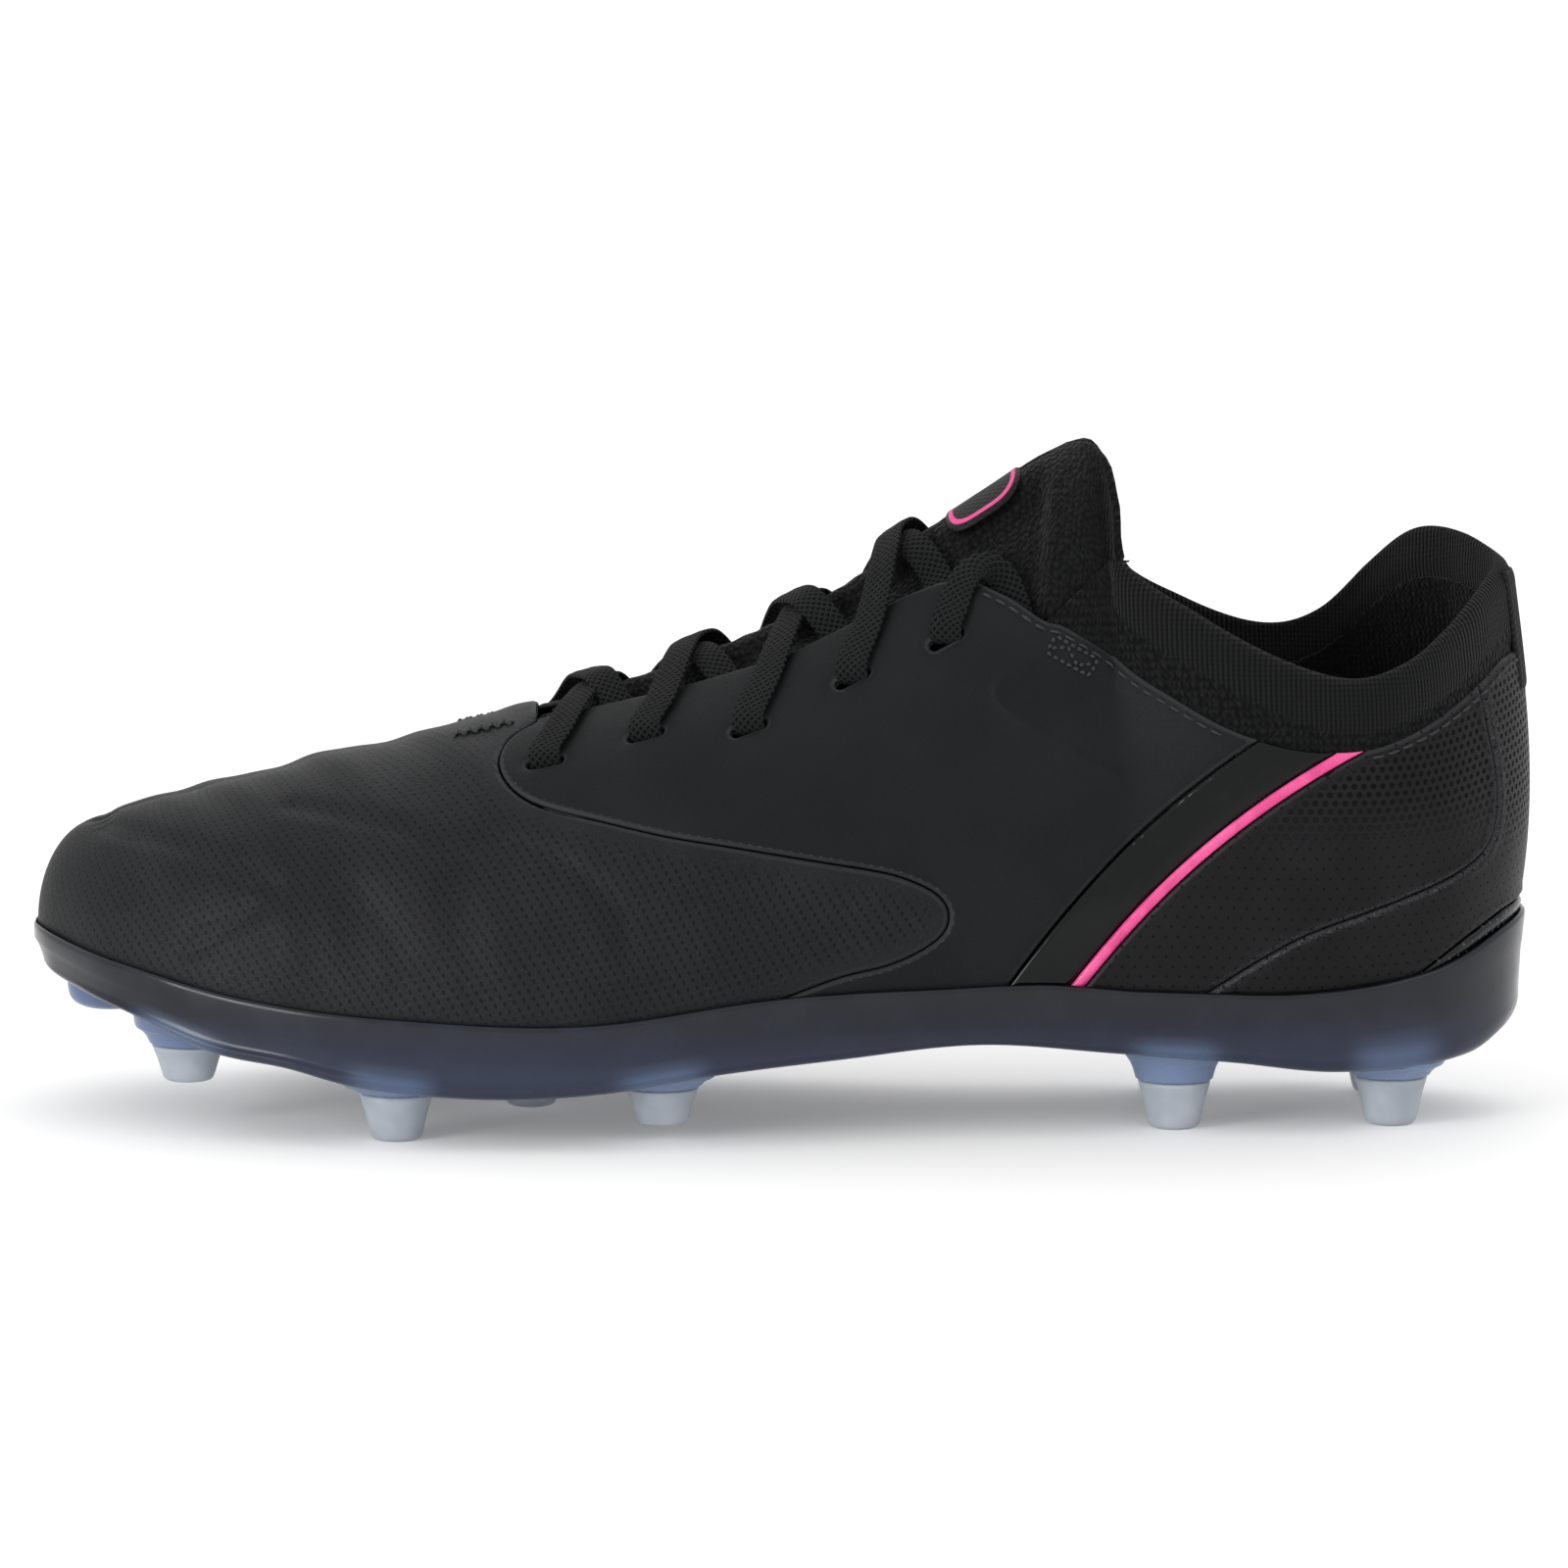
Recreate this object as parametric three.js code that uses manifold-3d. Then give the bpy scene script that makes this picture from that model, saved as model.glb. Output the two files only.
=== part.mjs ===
// A firm-ground soccer cleat for the left foot, as an assembly of its real pieces.
// Toe along -X, heel along +X, lateral side along -Y, medial side along +Y, up +Z, in millimetres.
// The ground is z = 0. The upper is one curved sheet around the foot: every panel, stiffener and
// lining is a layer of that sheet, cut to its own outline, so neighbouring layers never cross.
import * as THREE from 'three';
import { mergeVertices } from 'three/addons/utils/BufferGeometryUtils.js';
import Module from 'manifold-3d';

const wasm = await Module();
wasm.setup();

// ---------------------------------------------------------------- driving dimensions
const LAST_LENGTH = 279.5;     // toe to heel, along the sole line
const LAST_WIDTH = 94;         // lateral to medial, across the ball
const STUD_DROP = 13;          // how far the tallest studs carry the sole above the ground
const LEATHER = 1.2;           // outer panels
const STIFFENER = 0.7;         // toe puff, heel counter, eyestay backers
const KNIT = 1.7;              // bootie and linings under the panels
const PADDING = 1.8;           // foam round the ankle
const COLLAR_LINING = 0.9;     // brushed lining over that foam
const LAYER_GAP = 0.3;         // between one layer and the next
const SEAM_GAP = 0.34;         // between panels that butt edge to edge
const OVERLAY_RISE = 0.4;      // how far inlaid trim stands above the panels
const PIPING_WIDTH = 2;
const GLOSS_BAND_WIDTH = 9;
const SOLE_LIP = 1.0;          // thickness of the sole's rim where it meets the upper
const SOLE_GAP = 0.35;         // between the upper and the cup of the sole
const BOARD = 1.5;             // lasting board
const SOCKLINER_FOAM = 3.6;
const SOCKLINER_COVER = 0.7;
const BOARD_INSET = 6.3;       // from the sole line to the board's and sockliner's edges
const STUD_FLARE = 10;       // stud root radius
const STUD_NECK = 7.2;         // radius where the clear tip starts
const STUD_TIP_TOP = 6.8;
const STUD_TIP_END = 4.4;
const STUD_TIP_HEIGHT = 9.2;
const SHANK_RISE = 1.3;
const SHANK_WIDTH = 24;
const LACE_WIDTH = 6;
const LACE_THICKNESS = 1.2;
const LACE_CLEARANCE = 0.4;    // between a lace and what it crosses over
const LACE_PLAY = 1.2;         // what the space under the eyestay leaves beside the lace
const LACE_ROOM = LACE_THICKNESS + LACE_PLAY;
const LACE_OVER = LACE_THICKNESS / 2 + LACE_CLEARANCE;
const LACE_CROSSING = LACE_OVER + LACE_THICKNESS + 0.55;
const EYELET_LENGTH = LACE_WIDTH + 1.4;
const EYELET_WIDTH = LACE_THICKNESS + 2;
const AGLET_RADIUS = 0.95;
const AGLET_LENGTH = 7;
const LABEL_THICKNESS = 0.8;
const PULL_TAB_WIDTH = 15;
const PULL_TAB_THICKNESS = 1.1;

// ---------------------------------------------------------------- layers, as offsets from the sheet
const PANEL_IN = -LEATHER;
const STIFF_OUT = PANEL_IN - LAYER_GAP;
const STIFF_IN = STIFF_OUT - STIFFENER;
const INNER_OUT = STIFF_IN - LAYER_GAP;
const INNER_IN = INNER_OUT - KNIT;
const PAD_IN = INNER_OUT - PADDING;
const LINING_OUT = PAD_IN - LAYER_GAP;
const LINING_IN = LINING_OUT - COLLAR_LINING;
const TONGUE_OUT = STIFF_IN - LACE_ROOM;
const TONGUE_IN = TONGUE_OUT - KNIT;

const KX = LAST_LENGTH / 279.5;
const KY = LAST_WIDTH / 94;
const LIFT = STUD_DROP - 13;
const STATIONS = 30;
const ROWS = [-1, -0.5, -0.2, 0, 0.15, 0.31, 0.47, 0.62, 0.76, 0.88, 1];

// ---------------------------------------------------------------- the last
// Thirteen stations from toe to heel.
const FEATHER_Y = {
  lateral: [6, -9, -26.5, -38.5, -46, -48.5, -43.5, -36, -32.5, -31.5, -26, -14.5, 0],
  medial: [6, 21, 34, 42, 45.5, 42, 33, 27, 28, 30, 25.5, 14.5, 0],
};
const FEATHER_Z = {
  lateral: [33, 32.4, 29.1, 23.9, 20.3, 19, 22.7, 22.6, 22.5, 23.5, 26.8, 33, 34.6],
  medial: [33, 32, 28.5, 23.5, 20, 20, 24.5, 26, 25, 24.5, 27, 33, 34.6],
};
const BED_Z = [29, 27.5, 24, 18.5, 14.5, 14, 18.5, 20, 20, 19, 19, 22, 24.5];
const WALL_LEAN = [0.8, 1, 1.5, 2.5, 4, 5, 6, 6, 5.5, 5.5, 5.5, 5.5, 5.5];
const WALL_RISE = [0.55, 0.55, 0.55, 0.55, 0.52, 0.5, 0.45, 0.42, 0.4, 0.38, 0.36, 0.36, 0.36];
// Station, x, y, z along the ridge of the instep up to the top of the tongue.
const RIDGE = [
  [0, -128, 5, 55], [0.1, -122, 5, 57.2], [0.2, -106, 4.5, 61.8], [0.3, -80, 4, 68.6],
  [0.35, -61, 3.5, 73.6], [0.4, -41, 3, 78.6], [0.45, -19, 2, 85.7], [0.5, 5, 1, 96.5],
  [0.54, 23, 0.5, 108.3], [0.57, 37, 0, 117.6], [0.6, 51, 0, 126.5],
];
// The same, down the side of the tongue and round the collar to the back seam.
const RIM = {
  lateral: [
    [0.62, 57.5, -8, 127.5], [0.64, 60, -16, 118], [0.66, 61.5, -21.5, 107], [0.7, 76, -29, 97.5],
    [0.74, 92, -32.5, 89.5], [0.78, 105, -33, 86], [0.82, 115, -31, 88.3], [0.87, 123.5, -25.5, 93.5],
    [0.92, 131, -15.5, 100], [1, 136.5, 0, 105.4],
  ],
  medial: [
    [0.62, 57.5, 8, 127], [0.64, 59.5, 16, 116], [0.66, 61.5, 22, 104], [0.7, 76, 28.5, 94.5],
    [0.74, 91, 31.5, 89.3], [0.78, 102, 32, 91.5], [0.82, 112, 29.5, 100.5], [0.87, 121.5, 22.5, 108.3],
    [0.92, 130, 14.5, 108.5], [1, 136.5, 0, 105.4],
  ],
};
// Underside of the sole, x and z.
const SOLE_UNDER = [
  [-142, 29.5], [-137, 27.6], [-126, 24.1], [-119, 21.9], [-104, 16.1], [-91, 14.1], [-79, 11.2],
  [-63, 9.6], [-48, 9.4], [-31, 10.7], [-15, 13.2], [9, 15.6], [36, 17.6], [62, 15.4], [84, 13.5],
  [103, 11.4], [126, 13.1], [134, 18.2], [139, 25],
];

// ---------------------------------------------------------------- side outlines, x and z
const VAMP_SEAM = [
  [-15, 0], [-15.3, 22], [9, 31], [19.3, 33.4], [26, 36.3], [29.8, 39.5], [30.5, 43], [28.8, 46],
  [25, 48.4], [19, 50.6], [6.6, 53], [-9.5, 55.8], [-22, 57.8], [-35, 60.5], [-43.5, 62.3],
  [-48, 63.8], [-51.5, 66.2], [-53.2, 69], [-52.4, 71.8], [-50, 73.8], [-46.5, 75.4], [-46.5, 140],
];
const COLLAR_LINE = [
  [34, 150], [34, 103.5], [42, 100], [48.5, 96], [52, 95], [59.5, 90.5], [65.5, 85.8], [71, 82.6],
  [81, 77.2], [91.5, 73.6], [100.5, 72.5], [109.5, 73.2], [118.7, 76.7], [126.7, 81.5],
  [134.7, 87.5], [152, 92],
];
const REAR_SEAM = [
  [68, 0], [73, 23.5], [81, 28.7], [88.4, 33.5], [96.7, 38], [106, 41.4], [116.3, 45],
  [125.7, 48.7], [131, 52.5], [133, 58], [133, 66], [131, 76], [127, 95],
];
const HEEL_CLIP_LINE = [[104, 0], [114, 26.5], [120.3, 31], [127.7, 36], [135, 40], [152, 44]];
const STRIPE_START = [121, 80];
const STRIPE_PULL = [74, 62];
const STRIPE_END = [43, 12];
// Plan outline of the throat between the eyestays, x and y.
const THROAT_LATERAL = [[-46.5, -9.5], [-34, -11], [-22, -12.5], [-11, -14], [0, -15.5], [13, -15.5], [28, -17], [36, -20]];
const THROAT_MEDIAL = [[-46.5, 13], [-34, 13.5], [-22, 14.5], [-11, 16], [0, 17], [13, 16.5], [28, 17.5], [36, 20]];
// Eyelets from the toe end up, x and z in side view.
const EYELETS = [[-44.5, 69.5], [-25.8, 74.5], [-6.6, 76.3], [12.6, 85.3], [30, 92.5]];

// Stud name, x, y, height of the ground end.
const STUDS = [
  ['lateral_toe', -111.6, -18.5, 8.4], ['medial_toe', -107, 25.5, 8.4],
  ['lateral_ball', -72, -34, 0], ['medial_ball', -70, 34, 0],
  ['centre_forefoot', -48, 0, 0.4],
  ['lateral_waist', -22.6, -34.5, 3], ['medial_waist', -24, 26, 3],
  ['lateral_heel_front', 73, -21.5, 0], ['medial_heel_front', 73, 18.5, 0],
  ['lateral_heel_rear', 113.8, -17.5, 0], ['medial_heel_rear', 113.8, 17, 0],
];
const TOE_LUG = [-128, 7, 18];

// ---------------------------------------------------------------- small helpers
const clamp = (v, a, b) => Math.min(Math.max(v, a), b);
const smooth = (a, b, x) => {
  const s = clamp((x - a) / (b - a), 0, 1);
  return s * s * (3 - 2 * s);
};
const vec = (x, y, z) => new THREE.Vector3(x, y, z);

// Smooth curve through rows of [parameter, values...]; the listed columns start and end level.
function through(rows, t, level = []) {
  const n = rows.length;
  const u = clamp(t, rows[0][0], rows[n - 1][0]);
  let i = 0;
  while (i < n - 2 && u >= rows[i + 1][0]) i += 1;
  const slope = (k, c) => {
    if ((k === 0 || k === n - 1) && level.includes(c)) return 0;
    const a = rows[Math.max(k - 1, 0)];
    const b = rows[Math.min(k + 1, n - 1)];
    return (b[c] - a[c]) / (b[0] - a[0]);
  };
  const h = rows[i + 1][0] - rows[i][0];
  const s = (u - rows[i][0]) / h;
  const out = [];
  for (let c = 1; c < rows[0].length; c += 1) {
    const a = rows[i][c];
    const b = rows[i + 1][c];
    out.push(a * (2 * s ** 3 - 3 * s * s + 1) + slope(i, c) * h * (s ** 3 - 2 * s * s + s)
      + b * (3 * s * s - 2 * s ** 3) + slope(i + 1, c) * h * (s ** 3 - s * s));
  }
  return out;
}
const stationRows = (values) => values.map((v, k) => [k / (values.length - 1), v]);
const atStation = (values, t, level = [1]) => through(stationRows(values), t, level)[0];
const soleUnder = (x) => through(SOLE_UNDER, x / KX)[0] + LIFT;

// ---------------------------------------------------------------- the sheet
function feather(side, t) {
  const x = (-1.75 - 139.75 * Math.cos(Math.PI * t)) * KX;
  const y = atStation(FEATHER_Y[side], t, []) * KY;
  return vec(x, y, atStation(FEATHER_Z[side], t) + LIFT);
}
function outward(side, t) {
  if (t < 1e-6) return vec(-1, 0, 0);
  if (t > 1 - 1e-6) return vec(1, 0, 0);
  const a = feather(side, Math.max(t - 1e-3, 0));
  const b = feather(side, Math.min(t + 1e-3, 1));
  const s = side === 'lateral' ? -1 : 1;
  return vec(-(b.y - a.y) * s, (b.x - a.x) * s, 0).normalize();
}
function crest(side, t) {
  const [x, y, z] = through(RIDGE.concat(RIM[side]), t, [1, 3]);
  return vec(x * KX, y * KY, z + LIFT);
}
const cubic = (a, b, c, d, s) => a.clone().multiplyScalar((1 - s) ** 3)
  .addScaledVector(b, 3 * s * (1 - s) ** 2)
  .addScaledVector(c, 3 * s * s * (1 - s))
  .addScaledVector(d, s ** 3);

// t runs from toe to heel, v from the lasting edge (-1) over the sole line (0) to the crest (1).
function sheetPoint(side, t, v) {
  const F = feather(side, t);
  const n = outward(side, t);
  const T = crest(side, t);
  const up = vec(0, 0, 1);
  const h = T.z - F.z;
  const P1 = F.clone().addScaledVector(n, atStation(WALL_LEAN, t)).addScaledVector(up, h * atStation(WALL_RISE, t));
  if (v >= 0) {
    const reach = Math.hypot(T.x - F.x, T.y - F.y);
    const ridge = T.clone().addScaledVector(n, reach * 0.6);
    const rim = T.clone().addScaledVector(n, 3).addScaledVector(up, -h * 0.33);
    return cubic(F, P1, ridge.lerp(rim, smooth(0.59, 0.67, t)), T, v);
  }
  const G = F.clone().addScaledVector(n, -4.5);
  G.z = atStation(BED_Z, t) + LIFT;
  const tuck = P1.clone().sub(F).normalize().multiplyScalar(-(F.z - G.z) * 0.6).add(F);
  const under = G.clone().addScaledVector(n, 2.2).addScaledVector(up, 0.8);
  return cubic(F, tuck, under, G, -v);
}

const SIDES = ['lateral', 'medial'];
const grid = buildGrid();
const rowOf = new Map(SIDES.flatMap((side) => grid.index[side].flatMap(
  (column) => column.map((k, j) => [grid.points[k], ROWS[j]]))));

// One welded grid of points with a normal at each, shared by every layer.
function buildGrid() {
  const points = [];
  const index = {};
  const find = new Map();
  for (const side of SIDES) {
    index[side] = [];
    for (let i = 0; i <= STATIONS; i += 1) {
      const column = [];
      for (const v of ROWS) {
        const p = sheetPoint(side, i / STATIONS, v);
        const key = [p.x, p.y, p.z].map((c) => Math.round(c * 2000)).join(',');
        if (!find.has(key)) {
          find.set(key, points.length);
          points.push(p);
        }
        column.push(find.get(key));
      }
      index[side].push(column);
    }
  }
  const g = { points, index, normals: points.map(() => vec(0, 0, 0)) };
  for (const [a, b, c] of cellTriangles(g, () => true)) {
    const n = points[b].clone().sub(points[a]).cross(points[c].clone().sub(points[a]));
    for (const k of [a, b, c]) g.normals[k].add(n);
  }
  for (const n of g.normals) n.normalize();
  return g;
}

// Triangles of the grid cells that keep(side, t, v) accepts, faces away from the foot.
function cellTriangles(g, keep) {
  const out = [];
  for (const side of SIDES) {
    const q = g.index[side];
    for (let i = 0; i < STATIONS; i += 1) {
      for (let j = 0; j < ROWS.length - 1; j += 1) {
        if (!keep(side, (i + 0.5) / STATIONS, (ROWS[j] + ROWS[j + 1]) / 2)) continue;
        const a = q[i][j];
        const b = q[i + 1][j];
        const c = q[i + 1][j + 1];
        const d = q[i][j + 1];
        const pair = side === 'lateral' ? [[a, b, c], [a, c, d]] : [[a, c, b], [a, d, c]];
        for (const f of pair) {
          if (new Set(f).size === 3) out.push(f);
        }
      }
    }
  }
  return out;
}

// A closed layer of the sheet between two offsets; either may be a function of the grid point.
function layer(dIn, dOut, keep = () => true) {
  const faces = cellTriangles(grid, keep);
  const used = [...new Set(faces.flat())];
  const slot = new Map(used.map((k, n) => [k, n]));
  const at = (d, k) => (typeof d === 'function' ? d(grid.points[k]) : d);
  const place = (d) => used.map((k) => grid.points[k].clone().addScaledVector(grid.normals[k], at(d, k)));
  const points = place(dOut).concat(place(dIn));
  const m = used.length;
  const tris = [];
  const edges = new Map();
  for (const f of faces) {
    const [a, b, c] = f.map((k) => slot.get(k));
    tris.push([a, b, c], [a + m, c + m, b + m]);
    for (const [p, q] of [[a, b], [b, c], [c, a]]) {
      const twin = `${q},${p}`;
      if (edges.has(twin)) edges.delete(twin);
      else edges.set(`${p},${q}`, [p, q]);
    }
  }
  for (const [p, q] of edges.values()) tris.push([q, p, p + m], [q, p + m, q + m]);
  return solidFrom(points, tris);
}

// ---------------------------------------------------------------- solids
function solidFrom(points, tris) {
  const g = new THREE.BufferGeometry();
  g.setAttribute('position', new THREE.Float32BufferAttribute(points.flatMap((p) => [p.x, p.y, p.z]), 3));
  g.setIndex(tris.flat());
  return toSolid(g);
}
function toSolid(geometry) {
  const bare = geometry.clone();
  bare.deleteAttribute('normal');
  bare.deleteAttribute('uv');
  const g = mergeVertices(bare, 1e-4);
  const tri = [];
  const at = g.index.array;
  for (let i = 0; i < at.length; i += 3) {
    if (at[i] !== at[i + 1] && at[i + 1] !== at[i + 2] && at[i] !== at[i + 2]) tri.push(at[i], at[i + 1], at[i + 2]);
  }
  const vertProperties = new Float32Array(g.attributes.position.array);
  return new wasm.Manifold(new wasm.Mesh({ numProp: 3, vertProperties, triVerts: new Uint32Array(tri) }));
}
function toGeometry(solid) {
  const m = solid.getMesh();
  const g = new THREE.BufferGeometry();
  const xyz = new Float32Array(m.vertProperties.length / m.numProp * 3);
  for (let i = 0; i < xyz.length / 3; i += 1) {
    for (let c = 0; c < 3; c += 1) xyz[i * 3 + c] = m.vertProperties[i * m.numProp + c];
  }
  g.setAttribute('position', new THREE.BufferAttribute(xyz, 3));
  g.setIndex(Array.from(m.triVerts));
  return g;
}
// A prism of a side outline, run across the shoe from y0 to y1.
function sidePrism(outline, y0 = -90, y1 = 90) {
  const shape = new THREE.Shape(outline.map(([x, z]) => new THREE.Vector2(x * KX, z + LIFT)));
  const g = new THREE.ExtrudeGeometry(shape, { depth: y1 - y0, bevelEnabled: false });
  g.rotateX(Math.PI / 2);
  g.translate(0, y1, 0);
  return toSolid(g);
}
// A prism of a plan outline.
function planPrism(outline, z0 = 40, z1 = 160) {
  const shape = new THREE.Shape(outline.map(([x, y]) => new THREE.Vector2(x * KX, y * KY)));
  const g = new THREE.ExtrudeGeometry(shape, { depth: z1 - z0, bevelEnabled: false });
  g.translate(0, 0, z0);
  return toSolid(g);
}
const sidePart = (side) => (side === 'lateral' ? sidePrism(BOX, -90, 0) : sidePrism(BOX, 0, 90));
const BOX = [[-200, -20], [200, -20], [200, 200], [-200, 200]];

// An open line moved sideways; positive d is to the left of its direction.
function shifted(line, d) {
  return line.map((p, i) => {
    const a = line[Math.max(i - 1, 0)];
    const b = line[Math.min(i + 1, line.length - 1)];
    const len = Math.hypot(b[0] - a[0], b[1] - a[1]);
    return [p[0] - (b[1] - a[1]) / len * d, p[1] + (b[0] - a[0]) / len * d];
  });
}

// ---------------------------------------------------------------- regions
const inFrontOfVampSeam = (gap) => sidePrism([[-190, 0], ...shifted(VAMP_SEAM, gap), [-190, 140]]);
const aboveCollar = (gap) => sidePrism([...shifted(COLLAR_LINE, gap), [190, 92 + gap], [190, 150]]);
const behindRearSeam = (gap) => sidePrism([...shifted(REAR_SEAM, -gap), [190, 95], [190, 0]]);
const heelClipZone = (gap) => sidePrism([...shifted(HEEL_CLIP_LINE, -gap), [190, 44], [190, 0]]);
const throat = (grow) => planPrism([
  ...THROAT_LATERAL.map(([x, y]) => [x - (x < -46 ? grow : 0), y - grow]),
  ...THROAT_MEDIAL.slice().reverse().map(([x, y]) => [x - (x < -46 ? grow : 0), y + grow]),
]);
function stripe() {
  const curve = new THREE.QuadraticBezierCurve(
    new THREE.Vector2(...STRIPE_START), new THREE.Vector2(...STRIPE_PULL), new THREE.Vector2(...STRIPE_END));
  return curve.getPoints(9).map((p) => [p.x, p.y]);
}
// The stripe runs rearward-top to front-bottom, so its right-hand side faces the toe.
const stripeBand = (from, to) => sidePrism([...shifted(stripe(), -from), ...shifted(stripe(), -to).reverse()]);
const ahead = (from) => sidePrism([...shifted(stripe(), -from), [-190, 0], [-190, 160], [121, 160]]);
const opening = (gap) => throat(gap).add(aboveCollar(-gap));

// ---------------------------------------------------------------- outer panels
const skin = layer(PANEL_IN, 0);
const raised = layer(PANEL_IN, (p) => (rowOf.get(p) > 0.05 ? OVERLAY_RISE : 0));
const PIPE = PIPING_WIDTH / 2;

function vampPanel() {
  return skin.intersect(inFrontOfVampSeam(SEAM_GAP / 2));
}
function quarterPanel(side) {
  const front = inFrontOfVampSeam(-SEAM_GAP / 2);
  const region = ahead(PIPE + 2 * SEAM_GAP + GLOSS_BAND_WIDTH).intersect(sidePart(side));
  let panel = skin.intersect(region).subtract(front).subtract(opening(SEAM_GAP / 2));
  for (const hole of eyelets[side]) panel = panel.subtract(eyeletCut(hole));
  return panel;
}
function belowCollar(solid, side) {
  return solid.intersect(sidePart(side)).subtract(aboveCollar(-SEAM_GAP / 2));
}
function glossBand(side) {
  const from = PIPE + SEAM_GAP;
  return belowCollar(raised.intersect(stripeBand(from, from + GLOSS_BAND_WIDTH)), side);
}
function piping(side) {
  return belowCollar(raised.intersect(stripeBand(-PIPE, PIPE)), side);
}
function heelPanel(side) {
  const region = skin.subtract(ahead(-PIPE - SEAM_GAP)).subtract(behindRearSeam(-SEAM_GAP / 2));
  return belowCollar(region, side);
}
function heelWrap() {
  const region = skin.intersect(behindRearSeam(SEAM_GAP / 2)).subtract(heelClipZone(-SEAM_GAP / 2));
  return region.subtract(aboveCollar(-SEAM_GAP / 2));
}
function heelClip() {
  return raised.intersect(heelClipZone(SEAM_GAP / 2));
}

// ---------------------------------------------------------------- stiffeners and linings
// Where the linings meet end to end: the throat's foot, and the front of the ankle padding.
const LINING_FRONT_X = -49.3;
const LINING_REAR_X = 57;
const HEEL_PAD_HALF = 4.5;
const TONGUE_LOW_V = 0.47;
const FOOT_LOW_V = -0.2;
const between = (x0, x1) => sidePrism([[x0, -20], [x1, -20], [x1, 200], [x0, 200]]);
const toePuff = () => layer(STIFF_IN, STIFF_OUT, (s, t, v) => t < 0.2 && v > FOOT_LOW_V && v < 0.76);
const heelCounter = () => layer(STIFF_IN, STIFF_OUT, (s, t, v) => t > 0.72 && v > FOOT_LOW_V && v < 0.62);
function eyestayBacker(side) {
  const strip = layer(STIFF_IN, STIFF_OUT, (s, t, v) => s === side && t > 0.366 && t < 0.6 && v > TONGUE_LOW_V);
  let solid = strip.intersect(between(-52, 60)).subtract(opening(SEAM_GAP + 0.6));
  for (const hole of eyelets[side]) solid = solid.subtract(eyeletCut(hole));
  return solid;
}
const vampLining = () => layer(INNER_IN, INNER_OUT, (s, t, v) => t < 0.4 && v > FOOT_LOW_V)
  .intersect(between(-200, LINING_FRONT_X - SEAM_GAP / 2));
const midLining = (side) => layer(INNER_IN, INNER_OUT,
  (s, t, v) => s === side && t > 0.33 && t < 0.7 && v > FOOT_LOW_V && v < TONGUE_LOW_V)
  .intersect(between(LINING_FRONT_X + SEAM_GAP / 2, LINING_REAR_X - SEAM_GAP / 2));
function padSheet(keep) {
  return layer(PAD_IN, INNER_OUT, (s, t, v) => keep(s, t) && v > FOOT_LOW_V && v < 0.88).subtract(aboveCollar(-SEAM_GAP));
}
function anklePad(side) {
  const y0 = HEEL_PAD_HALF + SEAM_GAP / 2;
  const flank = side === 'lateral' ? sidePrism(BOX, -90, -y0) : sidePrism(BOX, y0, 90);
  return padSheet((s, t) => s === side && t > 0.6).intersect(between(LINING_REAR_X + SEAM_GAP / 2, 200)).intersect(flank);
}
const heelPad = () => padSheet((s, t) => t > 0.9)
  .intersect(sidePrism(BOX, SEAM_GAP / 2 - HEEL_PAD_HALF, HEEL_PAD_HALF - SEAM_GAP / 2));
const collarLining = () => layer(LINING_IN, LINING_OUT, (s, t, v) => t > 0.666 && v > 0 && v < 0.88);

// The exposed knit swells towards the instep's ridge, where the label sits.
const domed = (p) => TONGUE_OUT + (-0.3 - TONGUE_OUT) * smooth(18, 46, p.x / KX) * smooth(0.8, 0.95, rowOf.get(p));

// The tongue runs under the eyestays; above them it fills the opening, up to the collar's seam.
const KNIT_START_X = 48.5;
const COLLAR_SEAM = [[47.6, 40], [47.6, 95], [64.6, 110], [64.6, 150]];
function tongueKnit() {
  const underlap = layer(TONGUE_IN, domed, (s, t, v) => t > 0.36 && t < 0.6 && v > TONGUE_LOW_V);
  const top = layer(TONGUE_OUT - 0.4, -LAYER_GAP, (s, t, v) => t > 0.53 && t < 0.69 && v > 0.31);
  const exposed = top.intersect(aboveCollar(SEAM_GAP / 2)).intersect(between(KNIT_START_X, 80));
  const ahead = sidePrism([...shifted(COLLAR_SEAM, SEAM_GAP / 2), [-52, 150], [-52, 40]]);
  return underlap.add(exposed).intersect(ahead);
}
function collarKnit() {
  const band = layer(INNER_IN, -LAYER_GAP, (s, t, v) => t > 0.56 && v > 0.31);
  const behind = sidePrism([...shifted(COLLAR_SEAM, -SEAM_GAP / 2), [190, 150], [190, 40]]);
  return band.intersect(aboveCollar(SEAM_GAP / 2)).intersect(behind);
}
function tongueLabel() {
  const sheet = layer((p) => domed(p) + LAYER_GAP, (p) => domed(p) + LAYER_GAP + LABEL_THICKNESS,
    (s, t, v) => t > 0.5 && t < 0.6 && v > 0.76);
  const outline = [];
  for (let k = 0; k < 20; k += 1) {
    const a = k / 20 * 2 * Math.PI;
    const c = Math.sign(Math.cos(a)) * Math.abs(Math.cos(a)) ** 0.6;
    const s = Math.sign(Math.sin(a)) * Math.abs(Math.sin(a)) ** 0.6;
    outline.push([37 + 7 * c, 9.5 * s]);
  }
  return sheet.intersect(planPrism(outline));
}
function pullTab() {
  const sheet = layer(0.3, 0.3 + PULL_TAB_THICKNESS, (s, t, v) => t > 0.86 && v > 0.6);
  const half = PULL_TAB_WIDTH / 2;
  const plan = planPrism([[110, -half / KY], [160, -half / KY], [160, half / KY], [110, half / KY]]);
  return sheet.intersect(plan).intersect(sidePrism([[110, 80], [160, 80], [160, 103], [110, 103]]));
}

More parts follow.
